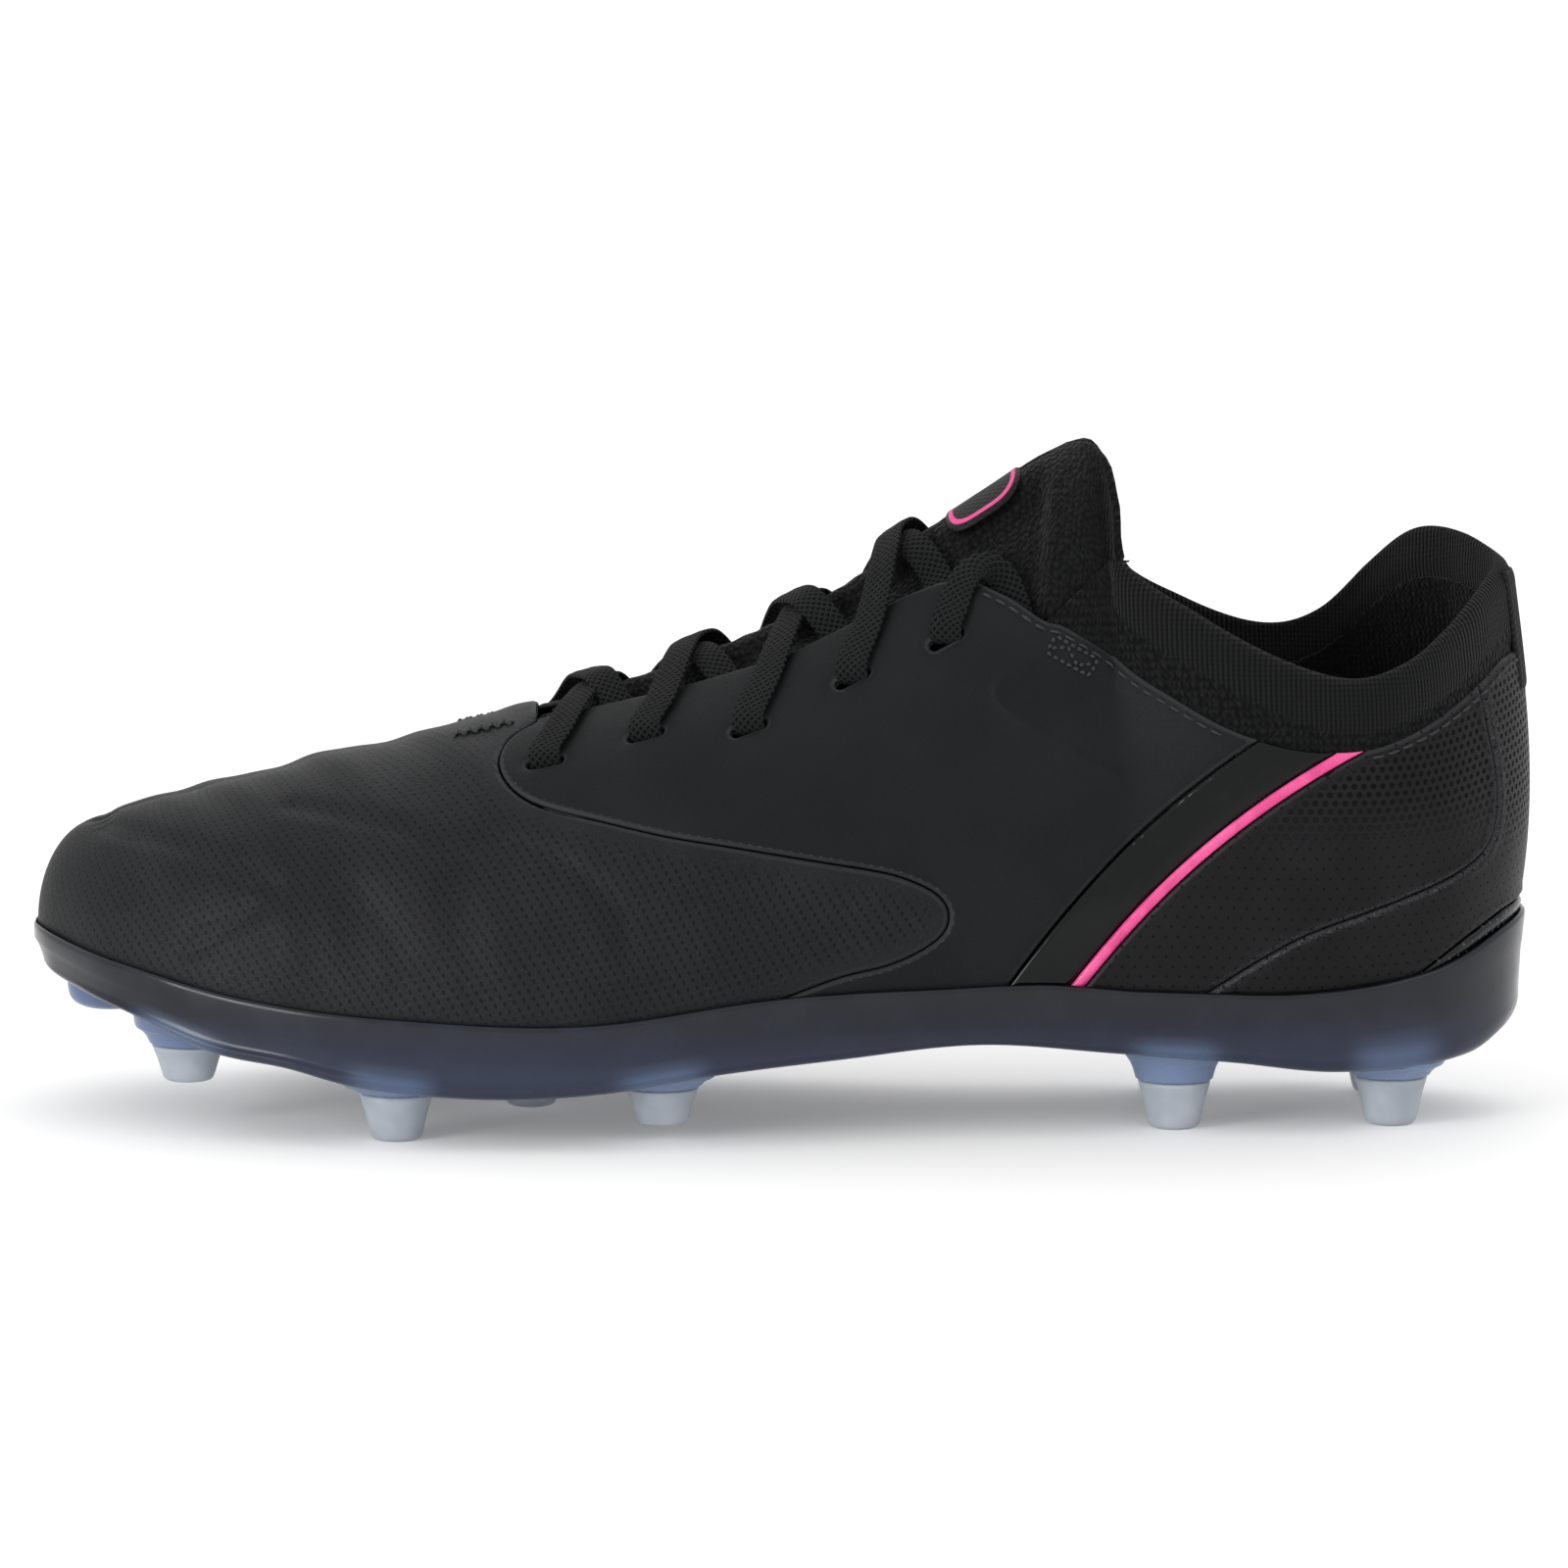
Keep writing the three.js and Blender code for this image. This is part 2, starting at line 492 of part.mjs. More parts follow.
// ---------------------------------------------------------------- sole
// Rings across the shoe at every station; the first and last close on themselves.
function loft(ringAt, stations = STATIONS) {
  const rings = [];
  for (let i = 0; i <= stations; i += 1) rings.push(ringAt(i / stations));
  const m = rings[0].length;
  const tris = [];
  for (let i = 0; i < stations; i += 1) {
    for (let j = 0; j < m; j += 1) {
      const a = i * m + j;
      const b = i * m + (j + 1) % m;
      tris.push([a, b, b + m], [a, b + m, a + m]);
    }
  }
  return solidFrom(rings.flat(), tris);
}
function slab(inset, zLow, zHigh) {
  return loft((t) => {
    const l = feather('lateral', t).addScaledVector(outward('lateral', t), -inset);
    const m = feather('medial', t).addScaledVector(outward('medial', t), -inset);
    const z = atStation(BED_Z, t) + LIFT;
    return [vec(l.x, l.y, z + zHigh), vec(l.x, l.y, z + zLow), vec(m.x, m.y, z + zLow), vec(m.x, m.y, z + zHigh)];
  });
}
// The inside of the sole's cup at one station, from the floor's edge up to the sole line.
function cupLine(side, t) {
  const column = grid.index[side][Math.round(t * STATIONS)];
  const cup = [0, 1, 2, 3].map((row) => grid.points[column[row]].clone()
    .addScaledVector(grid.normals[column[row]], SOLE_GAP));
  cup[0].z = Math.min(cup[0].z, atStation(BED_Z, t) + LIFT - 0.6);
  return cup;
}
function plateBody() {
  const wall = (side, t) => {
    const n = outward(side, t);
    const F = feather(side, t);
    const move = (dn, z) => vec(F.x + n.x * dn, F.y + n.y * dn, z);
    const low = soleUnder(F.x - n.x * 4);
    const cup = cupLine(side, t);
    const lip = SOLE_GAP + SOLE_LIP;
    const outer = [move(lip, F.z - 0.4), move(lip - 0.3, F.z * 0.6 + low * 0.4 + 0.8), move(-1.2, low + 1.3), move(-4.2, low)];
    return { outer, cup };
  };
  return loft((t) => {
    const l = wall('lateral', t);
    const m = wall('medial', t);
    const across = (f) => {
      const a = l.outer[3];
      const b = m.outer[3];
      return vec(a.x + (b.x - a.x) * f, a.y + (b.y - a.y) * f, a.z + (b.z - a.z) * f);
    };
    return [...l.cup, ...l.outer, across(0.33), across(0.67), ...m.outer.slice().reverse(), ...m.cup.slice().reverse()];
  });
}
function round(radii, sides, x, y) {
  const profile = radii.map(([r, z]) => new THREE.Vector2(r, z)).reverse();
  const g = new THREE.LatheGeometry(profile, sides);
  g.rotateX(Math.PI / 2);
  g.translate(x, y, 0);
  return toSolid(g);
}
// The clear tip stops short of the plate, wherever the plate's underside comes lowest over it.
function neckHeight([, x, , ground]) {
  const under = [-STUD_NECK, 0, STUD_NECK].map((dx) => soleUnder(x * KX + dx));
  return Math.min(ground + STUD_TIP_HEIGHT, Math.min(...under) - 0.8);
}
function studRoot(stud) {
  const [, x, y] = stud;
  const top = Math.max(soleUnder(x * KX - STUD_FLARE), soleUnder(x * KX + STUD_FLARE)) + 1;
  const neck = neckHeight(stud);
  const drop = top - neck;
  const profile = [[0, top], [STUD_FLARE, top], [STUD_FLARE * 0.86, neck + drop * 0.6],
    [STUD_NECK + 0.7, neck + drop * 0.25], [STUD_NECK, neck], [0, neck]];
  return round(profile, 12, x * KX, y * KY);
}
function studTip(stud) {
  const [, x, y, ground] = stud;
  const top = neckHeight(stud) - LAYER_GAP;
  const profile = [[0, top], [STUD_TIP_TOP, top], [STUD_TIP_END + 0.5, ground + 1],
    [STUD_TIP_END - 0.5, ground], [0, ground]];
  return round(profile, 12, x * KX, y * KY);
}
// The hollow that the upper sits in, a little deeper, so that no stud root comes up through it.
function cupHollow() {
  return loft((t) => {
    const wall = (side) => cupLine(side, t).map((p) => p.add(vec(0, 0, -0.3)));
    const l = wall('lateral').reverse();
    const m = wall('medial');
    const roof = [m[3].clone().add(vec(0, 0, 30)), l[0].clone().add(vec(0, 0, 30))];
    return [...l, ...m, ...roof];
  });
}
function outsole() {
  let roots = studRoot(STUDS[0]);
  for (const stud of STUDS.slice(1)) roots = roots.add(studRoot(stud));
  let plate = plateBody().add(roots.subtract(cupHollow()));
  const [x, y, low] = TOE_LUG;
  const top = soleUnder(x * KX) + 1.5;
  const lug = round([[0, top], [8.5, top], [7.6, low + 2.5], [5.2, low + 0.5], [0, low]], 12, x * KX, y * KY);
  return plate.add(lug.subtract(cupHollow()));
}
function shankBridge() {
  const from = -14;
  const to = 48;
  const steps = 8;
  const points = [];
  const half = SHANK_WIDTH / 2;
  for (let i = 0; i <= steps; i += 1) {
    const s = i / steps;
    const x = (from + (to - from) * s) * KX;
    const w = half * (0.45 + 0.55 * Math.sin(Math.PI * (0.12 + 0.76 * s)));
    const z = soleUnder(x) - LAYER_GAP - 0.35;
    const y = -4 * KY;
    points.push(vec(x, y - w, z), vec(x, y - w * 0.7, z - SHANK_RISE), vec(x, y + w * 0.7, z - SHANK_RISE), vec(x, y + w, z));
  }
  const tris = [[0, 3, 2], [0, 2, 1]];
  for (let i = 0; i < steps; i += 1) {
    for (let j = 0; j < 4; j += 1) {
      const a = i * 4 + j;
      const b = i * 4 + (j + 1) % 4;
      tris.push([a, b, b + 4], [a, b + 4, a + 4]);
    }
  }
  const e = steps * 4;
  tris.push([e, e + 1, e + 2], [e, e + 2, e + 3]);
  return solidFrom(points, tris);
}

// ---------------------------------------------------------------- lace
// A point on the faceted sheet at offset d, so the lace follows the same facets as the layers.
function onSheet(side, t, v, d) {
  const u = clamp(t * STATIONS, 0, STATIONS - 1e-6);
  const i = Math.floor(u);
  const a = u - i;
  let j = 0;
  while (j < ROWS.length - 2 && v >= ROWS[j + 1]) j += 1;
  const b = clamp((v - ROWS[j]) / (ROWS[j + 1] - ROWS[j]), 0, 1);
  const q = grid.index[side];
  const at = (m, n) => {
    const k = q[i + m][j + n];
    return grid.points[k].clone().addScaledVector(grid.normals[k], d);
  };
  const w = a > b ? [[0, 0, 1 - a], [1, 0, a - b], [1, 1, b]] : [[0, 0, 1 - b], [0, 1, b - a], [1, 1, a]];
  const p = vec(0, 0, 0);
  for (const [m, n, f] of w) p.addScaledVector(at(m, n), f);
  return p;
}
// Sheet coordinates of a side-view position.
function locate(side, x, z) {
  let best = { t: 0.5, v: 0.7 };
  let step = 0.08;
  const miss = (c) => {
    const p = onSheet(side, clamp(c.t, 0, 1), clamp(c.v, 0, 1), 0);
    return Math.hypot(p.x - x * KX, p.z - z - LIFT);
  };
  while (step > 1e-5) {
    const around = [[1, 0], [-1, 0], [0, 1], [0, -1], [1, 1], [-1, -1], [1, -1], [-1, 1]];
    const next = around.map(([a, b]) => ({ t: best.t + a * step, v: clamp(best.v + b * step * 2, 0, 1) }));
    const top = next.reduce((p, c) => (miss(c) < miss(p) ? c : p), best);
    if (top === best) step /= 2;
    best = top;
  }
  return best;
}
function frameAt(side, t, v, d) {
  const p = onSheet(side, t, v, d);
  const along = onSheet(side, t + 0.004, v, d).sub(onSheet(side, t - 0.004, v, d)).normalize();
  const rise = onSheet(side, t, v + 0.01, d).sub(onSheet(side, t, v - 0.01, d)).normalize();
  const normal = along.clone().cross(rise).multiplyScalar(side === 'lateral' ? 1 : -1).normalize();
  return { p, along, rise: normal.clone().cross(along).normalize(), normal };
}
function eyeletCut({ side, t, v }) {
  const f = frameAt(side, t, v, -1);
  const g = new THREE.BoxGeometry(EYELET_LENGTH, EYELET_WIDTH, 5);
  g.applyMatrix4(new THREE.Matrix4().makeBasis(f.along, f.rise, f.normal).setPosition(f.p));
  if (new THREE.Matrix4().makeBasis(f.along, f.rise, f.normal).determinant() < 0) {
    g.index.array.reverse();
  }
  return toSolid(g);
}

// From under the eyestay, up through the eyelet and back over it: sheet row and offset.
const hairpin = (run, over) => [[0.03, run], [0.007, run + 0.15], [0, run + 0.9], [0, over - 0.9],
  [0.007, over - 0.15], [0.03, over]];

// One pass from the underside of an eyelet, out of it and over the ridge to under the far eyestay.
function lacePass(from, to, ridgeOffset) {
  const side = from.side;
  const path = [];
  const over = LACE_OVER;
  const run = STIFF_IN - LACE_ROOM / 2;
  const add = (s, t, v, d) => path.push({ side: s, t, v, d });
  const mid = (from.t + to.t) / 2;
  for (const [dv, d] of hairpin(run, over)) add(side, from.t, from.v + dv, d);
  for (const f of [0.25, 0.45, 0.62, 0.8]) {
    const v = from.v + (1 - from.v) * f;
    const rise = smooth(0.3, 0.8, f) * (ridgeOffset - over);
    add(side, from.t + (mid - from.t) * f, v, over + rise + 0.35 * Math.sin(Math.PI * f));
  }
  add(side, mid, 1, ridgeOffset);
  for (const f of [0.2, 0.36, 0.5, 0.64, 0.8, 0.9]) {
    const v = 1 + (to.v - 1) * f;
    const fall = smooth(0.2, 0.52, f);
    add(to.side, mid + (to.t - mid) * f, v, ridgeOffset + (run - ridgeOffset) * fall);
  }
  return path;
}
// The loose end crosses the edge of the eyestay and is tucked in behind it. Side view x, z and offset.
function laceTail(from) {
  const over = LACE_OVER;
  const run = STIFF_IN - LACE_ROOM / 2;
  const pin = hairpin(run, over).map(([dv, d]) => ({ side: from.side, t: from.t, v: from.v + dv, d }));
  const tuck = [[31.4, 97, over], [32.8, 100.8, over], [35, 104, over], [37.6, 105.4, over - 0.8],
    [39.8, 104.6, run + 1], [41.4, 101.8, run], [42.6, 98.6, run], [43.7, 95.2, run]];
  return pin.concat(tuck.map(([x, z, d]) => ({ side: from.side, ...locate(from.side, x, z), d })));
}
const eyelets = Object.fromEntries(SIDES.map((side) => [side,
  EYELETS.map(([x, z]) => ({ side, ...locate(side, x, z) }))]));

function laceRoute() {
  const lat = eyelets.lateral;
  const med = eyelets.medial;
  const row = (i, side) => (side === 'lateral' ? lat[i] : med[i]);
  const swap = (side) => (side === 'lateral' ? 'medial' : 'lateral');
  const strand = (first, offset) => {
    let side = first;
    let path = [];
    for (let i = 0; i < EYELETS.length - 1; i += 1) {
      path = path.concat(lacePass(row(i, side), row(i + 1, swap(side)), offset));
      side = swap(side);
    }
    return path.concat(laceTail(row(EYELETS.length - 1, side)));
  };
  const run = STIFF_IN - LACE_ROOM / 2;
  const bar = [];
  for (const f of [0.12, 0.35, 0.6, 0.85]) bar.push({ side: 'lateral', t: lat[0].t, v: lat[0].v + (1 - lat[0].v) * f, d: run });
  bar.push({ side: 'lateral', t: lat[0].t, v: 1, d: run });
  for (const f of [0.85, 0.6, 0.35, 0.12]) bar.push({ side: 'medial', t: med[0].t, v: med[0].v + (1 - med[0].v) * f, d: run });
  return [...strand('lateral', LACE_OVER).reverse(), ...bar, ...strand('medial', LACE_CROSSING)];
}
// Sweep of the flat section; its wide side stays in the plane of the sheet.
function ribbon(route, width, thickness) {
  const pts = route.map((r) => onSheet(r.side, r.t, r.v, r.d));
  const rings = [];
  let across = null;
  pts.forEach((p, i) => {
    const back = pts[Math.max(i - 1, 0)];
    const next = pts[Math.min(i + 1, pts.length - 1)];
    const a = (i > 0 ? p.clone().sub(back) : next.clone().sub(p)).normalize();
    const b = (i < pts.length - 1 ? next.clone().sub(p) : p.clone().sub(back)).normalize();
    const dir = a.clone().add(b).normalize();
    const f = frameAt(route[i].side, route[i].t, clamp(route[i].v, 0, 0.985), route[i].d);
    let w = dir.clone().cross(f.normal);
    if (w.length() < 0.6 || (across === null && w.length() < 0.9)) w = f.along.clone();
    w.addScaledVector(dir, -w.dot(dir)).normalize();
    if (across && across.dot(w) < 0) w.negate();
    across = w;
    const n = dir.clone().cross(w).normalize();
    const mitre = 1 / Math.max(Math.sqrt((1 + a.dot(b)) / 2), 0.6);
    for (const [su, sn] of [[-1, -1], [1, -1], [1, 1], [-1, 1]]) {
      rings.push(p.clone().addScaledVector(w, su * width / 2).addScaledVector(n, sn * thickness / 2 * mitre));
    }
  });
  const tris = [[0, 3, 2], [0, 2, 1]];
  const count = pts.length;
  for (let i = 0; i < count - 1; i += 1) {
    for (let j = 0; j < 4; j += 1) {
      const a = i * 4 + j;
      const b = i * 4 + (j + 1) % 4;
      tris.push([a, b, b + 4], [a, b + 4, a + 4]);
    }
  }
  const e = (count - 1) * 4;
  tris.push([e, e + 1, e + 2], [e, e + 2, e + 3]);
  return { points: rings, tris };
}
function laceSolid() {
  const { points, tris } = ribbon(laceRoute(), LACE_WIDTH, LACE_THICKNESS);
  let volume = 0;
  for (const [a, b, c] of tris) volume += points[a].dot(points[b].clone().cross(points[c]));
  return solidFrom(points, volume < 0 ? tris.map(([a, b, c]) => [a, c, b]) : tris);
}
function aglet(side) {
  const tail = laceTail(eyelets[side][EYELETS.length - 1]);
  const [p, q] = [tail[tail.length - 1], tail[tail.length - 2]].map((r) => onSheet(r.side, r.t, r.v, r.d));
  const run = tail[tail.length - 1].d;
  const far = onSheet(side, ...Object.values(locate(side, AGLET_END[0], AGLET_END[1])), run);
  const dir = far.sub(p).normalize();
  const g = new THREE.CylinderGeometry(AGLET_RADIUS, AGLET_RADIUS, AGLET_LENGTH, 8);
  g.applyQuaternion(new THREE.Quaternion().setFromUnitVectors(vec(0, 1, 0), dir));
  const centre = p.clone().addScaledVector(dir, AGLET_LENGTH / 2 + LAYER_GAP + p.distanceTo(q) * 0.1);
  g.translate(centre.x, centre.y, centre.z);
  return toSolid(g);
}
const AGLET_END = [46.3, 88];

// ---------------------------------------------------------------- materials
const finish = (color, roughness, metalness = 0) => ({ color, roughness, metalness });
const LOOK = {
  leather: finish('#2d2f30', 0.55),
  perforated: finish('#303233', 0.5),
  gloss: finish('#0b0d0f', 0.12),
  pink: finish('#ee5aa0', 0.4),
  stiff: finish('#1c1c1e', 0.7),
  knit: finish('#242626', 0.9),
  lining: finish('#1b1c1c', 0.95),
  foam: finish('#3a3b3d', 0.95),
  sole: finish('#3e4553', 0.25),
  clip: finish('#4e4d52', 0.3),
  shank: finish('#2a3148', 0.3),
  tip: finish('#97a0a8', 0.12),
  board: finish('#8d8778', 0.9),
  cover: finish('#191a1c', 0.85),
  lace: finish('#2a2c2c', 0.85),
  aglet: finish('#15161a', 0.3),
  label: finish('#202224', 0.45),
};

const shoe = new THREE.Group();
// Cuts leave needle faces; edges shorter than this are closed up.
const SHORTEST_EDGE = 0.003;
function add(name, solid, look) {
  const { color, roughness, metalness } = LOOK[look];
  const mesh = new THREE.Mesh(toGeometry(solid.simplify(SHORTEST_EDGE)), new THREE.MeshStandardMaterial({ color, roughness, metalness }));
  mesh.name = name;
  shoe.add(mesh);
}

add('outsole_plate', outsole(), 'sole');
add('shank_bridge', shankBridge(), 'shank');
for (const stud of STUDS) add(`stud_tip_${stud[0]}`, studTip(stud), 'tip');
add('strobel_board', slab(BOARD_INSET, -0.2, BOARD - 0.2), 'board');
const FOAM_LOW = BOARD - 0.2 + LAYER_GAP;
add('sockliner_foam', slab(BOARD_INSET, FOAM_LOW, FOAM_LOW + SOCKLINER_FOAM), 'foam');
const COVER_LOW = FOAM_LOW + SOCKLINER_FOAM + LAYER_GAP;
add('sockliner_cover', slab(BOARD_INSET, COVER_LOW, COVER_LOW + SOCKLINER_COVER), 'cover');
add('vamp', vampPanel(), 'perforated');
for (const side of SIDES) {
  add(`quarter_${side}`, quarterPanel(side), 'leather');
  add(`gloss_band_${side}`, glossBand(side), 'gloss');
  add(`piping_${side}`, piping(side), 'pink');
  add(`heel_panel_${side}`, heelPanel(side), 'perforated');
  add(`eyestay_backer_${side}`, eyestayBacker(side), 'stiff');
  add(`midfoot_lining_${side}`, midLining(side), 'lining');
  add(`ankle_pad_${side}`, anklePad(side), 'foam');
  add(`aglet_${side}`, aglet(side), 'aglet');
}
add('heel_wrap', heelWrap(), 'perforated');
add('heel_clip', heelClip(), 'clip');
add('toe_puff', toePuff(), 'stiff');
add('heel_counter', heelCounter(), 'stiff');
add('vamp_lining', vampLining(), 'lining');
add('heel_pad', heelPad(), 'foam');
add('collar_lining', collarLining(), 'lining');
add('tongue_knit', tongueKnit(), 'knit');
add('collar_knit', collarKnit(), 'knit');
add('tongue_label', tongueLabel(), 'label');
add('pull_tab', pullTab(), 'knit');
add('lace', laceSolid(), 'lace');

export default shoe;
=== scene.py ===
"""Soccer cleat: the finished look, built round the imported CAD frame."""
import math

import bmesh
import bpy
import numpy as np
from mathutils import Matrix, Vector
from mathutils.geometry import delaunay_2d_cdt
from mathutils.kdtree import KDTree


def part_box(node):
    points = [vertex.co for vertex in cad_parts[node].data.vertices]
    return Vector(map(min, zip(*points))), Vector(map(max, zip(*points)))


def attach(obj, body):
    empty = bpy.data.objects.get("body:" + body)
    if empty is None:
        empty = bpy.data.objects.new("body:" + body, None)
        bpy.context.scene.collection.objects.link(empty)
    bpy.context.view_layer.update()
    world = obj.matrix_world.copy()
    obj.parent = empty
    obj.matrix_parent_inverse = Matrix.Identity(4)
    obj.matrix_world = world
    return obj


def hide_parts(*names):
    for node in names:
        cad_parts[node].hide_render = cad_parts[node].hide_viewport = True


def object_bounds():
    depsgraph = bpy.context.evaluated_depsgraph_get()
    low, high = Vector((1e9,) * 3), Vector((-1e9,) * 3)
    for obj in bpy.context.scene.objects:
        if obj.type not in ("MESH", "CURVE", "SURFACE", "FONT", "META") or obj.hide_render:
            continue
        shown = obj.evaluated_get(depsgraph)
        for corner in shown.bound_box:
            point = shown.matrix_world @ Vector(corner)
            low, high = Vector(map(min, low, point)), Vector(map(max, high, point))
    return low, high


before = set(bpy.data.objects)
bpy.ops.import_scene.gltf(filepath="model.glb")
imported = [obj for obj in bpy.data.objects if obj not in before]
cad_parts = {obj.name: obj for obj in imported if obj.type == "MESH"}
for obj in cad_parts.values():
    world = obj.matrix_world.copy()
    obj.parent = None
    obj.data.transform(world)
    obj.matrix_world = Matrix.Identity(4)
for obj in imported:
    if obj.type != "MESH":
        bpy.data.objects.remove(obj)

CAD_BOX = [list(c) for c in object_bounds()]
BODY, LINER = "shoe", "sockliner"
MM = 0.001
PI = math.pi
SIDES = ("lateral", "medial")
LENGTH_K = (CAD_BOX[1][0] - CAD_BOX[0][0]) / 0.28394
WIDTH_K = (CAD_BOX[1][1] - CAD_BOX[0][1]) / 0.0967

# ------------------------------------------------------------------ the last, in millimetres
FEATHER_Y = {
    "lateral": [6, -9, -26.5, -38.5, -46, -48.5, -43.5, -36, -32.5, -31.5, -26, -14.5, 0],
    "medial": [6, 21, 34, 42, 45.5, 42, 33, 27, 28, 30, 25.5, 14.5, 0],
}
FEATHER_Z = {
    "lateral": [33, 32.4, 29.1, 23.9, 20.3, 19, 22.7, 22.6, 22.5, 23.5, 26.8, 33, 34.6],
    "medial": [33, 32, 28.5, 23.5, 20, 20, 24.5, 26, 25, 24.5, 27, 33, 34.6],
}
BED_Z = [29, 27.5, 24, 18.5, 14.5, 14, 18.5, 20, 20, 19, 19, 22, 24.5]
WALL_LEAN = [0.8, 1, 1.5, 2.5, 4, 5, 6, 6, 5.5, 5.5, 5.5, 5.5, 5.5]
WALL_RISE = [0.55, 0.55, 0.55, 0.55, 0.52, 0.5, 0.45, 0.42, 0.4, 0.38, 0.36, 0.36, 0.36]
RIDGE = [
    [0, -128, 5, 55], [0.1, -122, 5, 57.2], [0.2, -106, 4.5, 61.8], [0.3, -80, 4, 68.6],
    [0.35, -61, 3.5, 73.6], [0.4, -41, 3, 78.6], [0.45, -19, 2, 85.7], [0.5, 5, 1, 96.5],
    [0.54, 23, 0.5, 108.3], [0.57, 37, 0, 117.6], [0.6, 51, 0, 126.5],
]
RIM = {
    "lateral": [
        [0.62, 57.5, -8, 127.5], [0.64, 60, -16, 118], [0.66, 61.5, -21.5, 107], [0.7, 76, -29, 97.5],
        [0.74, 92, -32.5, 89.5], [0.78, 105, -33, 86], [0.82, 115, -31, 88.3],
        [0.87, 123.5, -25.5, 93.5], [0.92, 131, -15.5, 100], [1, 136.5, 0, 105.4],
    ],
    "medial": [
        [0.62, 57.5, 8, 127], [0.64, 59.5, 16, 116], [0.66, 61.5, 22, 104], [0.7, 76, 28.5, 94.5],
        [0.74, 91, 31.5, 89.3], [0.78, 102, 32, 91.5], [0.82, 112, 29.5, 100.5],
        [0.87, 121.5, 22.5, 108.3], [0.92, 130, 14.5, 108.5], [1, 136.5, 0, 105.4],
    ],
}
SOLE_UNDER = [
    [-142, 29.5], [-137, 27.6], [-126, 24.1], [-119, 21.9], [-104, 16.1], [-91, 14.1], [-79, 11.2],
    [-63, 9.6], [-48, 9.4], [-31, 10.7], [-15, 13.2], [9, 15.6], [36, 17.6], [62, 15.4], [84, 13.5],
    [103, 11.4], [126, 13.1], [134, 18.2], [139, 25],
]
VAMP_SEAM = [
    [-15, 0], [-15.3, 22], [9, 31], [19.3, 33.4], [26, 36.3], [29.8, 39.5], [30.5, 43], [28.8, 46],
    [25, 48.4], [19, 50.6], [6.6, 53], [-9.5, 55.8], [-22, 57.8], [-35, 60.5], [-43.5, 62.3],
    [-48, 63.8], [-51.5, 66.2], [-53.2, 69], [-52.4, 71.8], [-50, 73.8], [-46.5, 75.4], [-46.5, 140],
]
COLLAR_LINE = [
    [34, 150], [34, 103.5], [42, 100], [48.5, 96], [52, 95], [59.5, 90.5], [65.5, 85.8], [71, 82.6],
    [81, 77.2], [91.5, 73.6], [100.5, 72.5], [109.5, 73.2], [118.7, 76.7], [126.7, 81.5],
    [134.7, 87.5], [152, 92],
]
REAR_SEAM = [
    [68, 0], [73, 23.5], [81, 28.7], [88.4, 33.5], [96.7, 38], [106, 41.4], [116.3, 45],
    [125.7, 48.7], [131, 52.5], [133, 58], [133, 66], [131, 76], [127, 95],
]
HEEL_CLIP_LINE = [[104, 0], [114, 26.5], [120.3, 31], [127.7, 36], [135, 40], [152, 44]]
COLLAR_SEAM = [[47.6, 40], [47.6, 95], [64.6, 110], [64.6, 150]]
STRIPE = ((121, 80), (74, 62), (43, 12))
THROAT = {
    "lateral": [[-46.5, -9.5], [-34, -11], [-22, -12.5], [-11, -14], [0, -15.5], [13, -15.5], [28, -17], [36, -20]],
    "medial": [[-46.5, 13], [-34, 13.5], [-22, 14.5], [-11, 16], [0, 17], [13, 16.5], [28, 17.5], [36, 20]],
}
EYELETS = [[-44.5, 69.5], [-25.8, 74.5], [-6.6, 76.3], [12.6, 85.3], [30, 92.5]]
EMBOSS = [[45.9, 87.6], [40.3, 85.5], [39.3, 82.8], [42.2, 79.2], [53.5, 72.5], [62, 67.6]]
PIPING_WIDTH = 2.0
GLOSS_BAND_WIDTH = 9.0
THROAT_BASE_X = -46.5
COLLAR_END_Z, CLIP_END_Z = 87.9, 40.8      # where these two lines meet the heel's centre line
GAP, KNIT_GAP = 0.34, 0.06                 # the grooves between panels, and between the two knits
LOW_V = -0.5                               # the panels end here, under the sole line


# ------------------------------------------------------------------ curves
def smooth(a, b, x):
    s = np.clip((np.asarray(x, float) - a) / (b - a), 0, 1)
    return s * s * (3 - 2 * s)


def unit(v):
    return v / np.linalg.norm(v, axis=-1, keepdims=True)


def through(rows, t, level=()):
    """A smooth line through rows of (parameter, values...), like the CAD's."""
    r = np.array(rows, float)
    T, P = r[:, 0], r[:, 1:]
    m = np.zeros_like(P)
    m[1:-1] = (P[2:] - P[:-2]) / (T[2:] - T[:-2])[:, None]
    m[0] = (P[1] - P[0]) / (T[1] - T[0])
    m[-1] = (P[-1] - P[-2]) / (T[-1] - T[-2])
    for c in level:
        m[0, c] = m[-1, c] = 0
    t = np.clip(np.asarray(t, float), T[0], T[-1])
    i = np.clip(np.searchsorted(T, t, side="right") - 1, 0, len(T) - 2)
    h = (T[i + 1] - T[i])[..., None]
    s = (t - T[i])[..., None] / h
    return (P[i] * (2 * s**3 - 3 * s * s + 1) + m[i] * h * (s**3 - 2 * s * s + s)
            + P[i + 1] * (3 * s * s - 2 * s**3) + m[i + 1] * h * (s**3 - s * s))


def station(values, t, level=(0,)):
    """A value given at even stations of t."""
    n = len(values) - 1
    return through([[k / n, v] for k, v in enumerate(values)], t, level)[..., 0]


def sole_under(x):
    return through(SOLE_UNDER, np.asarray(x) / LENGTH_K)[..., 0]


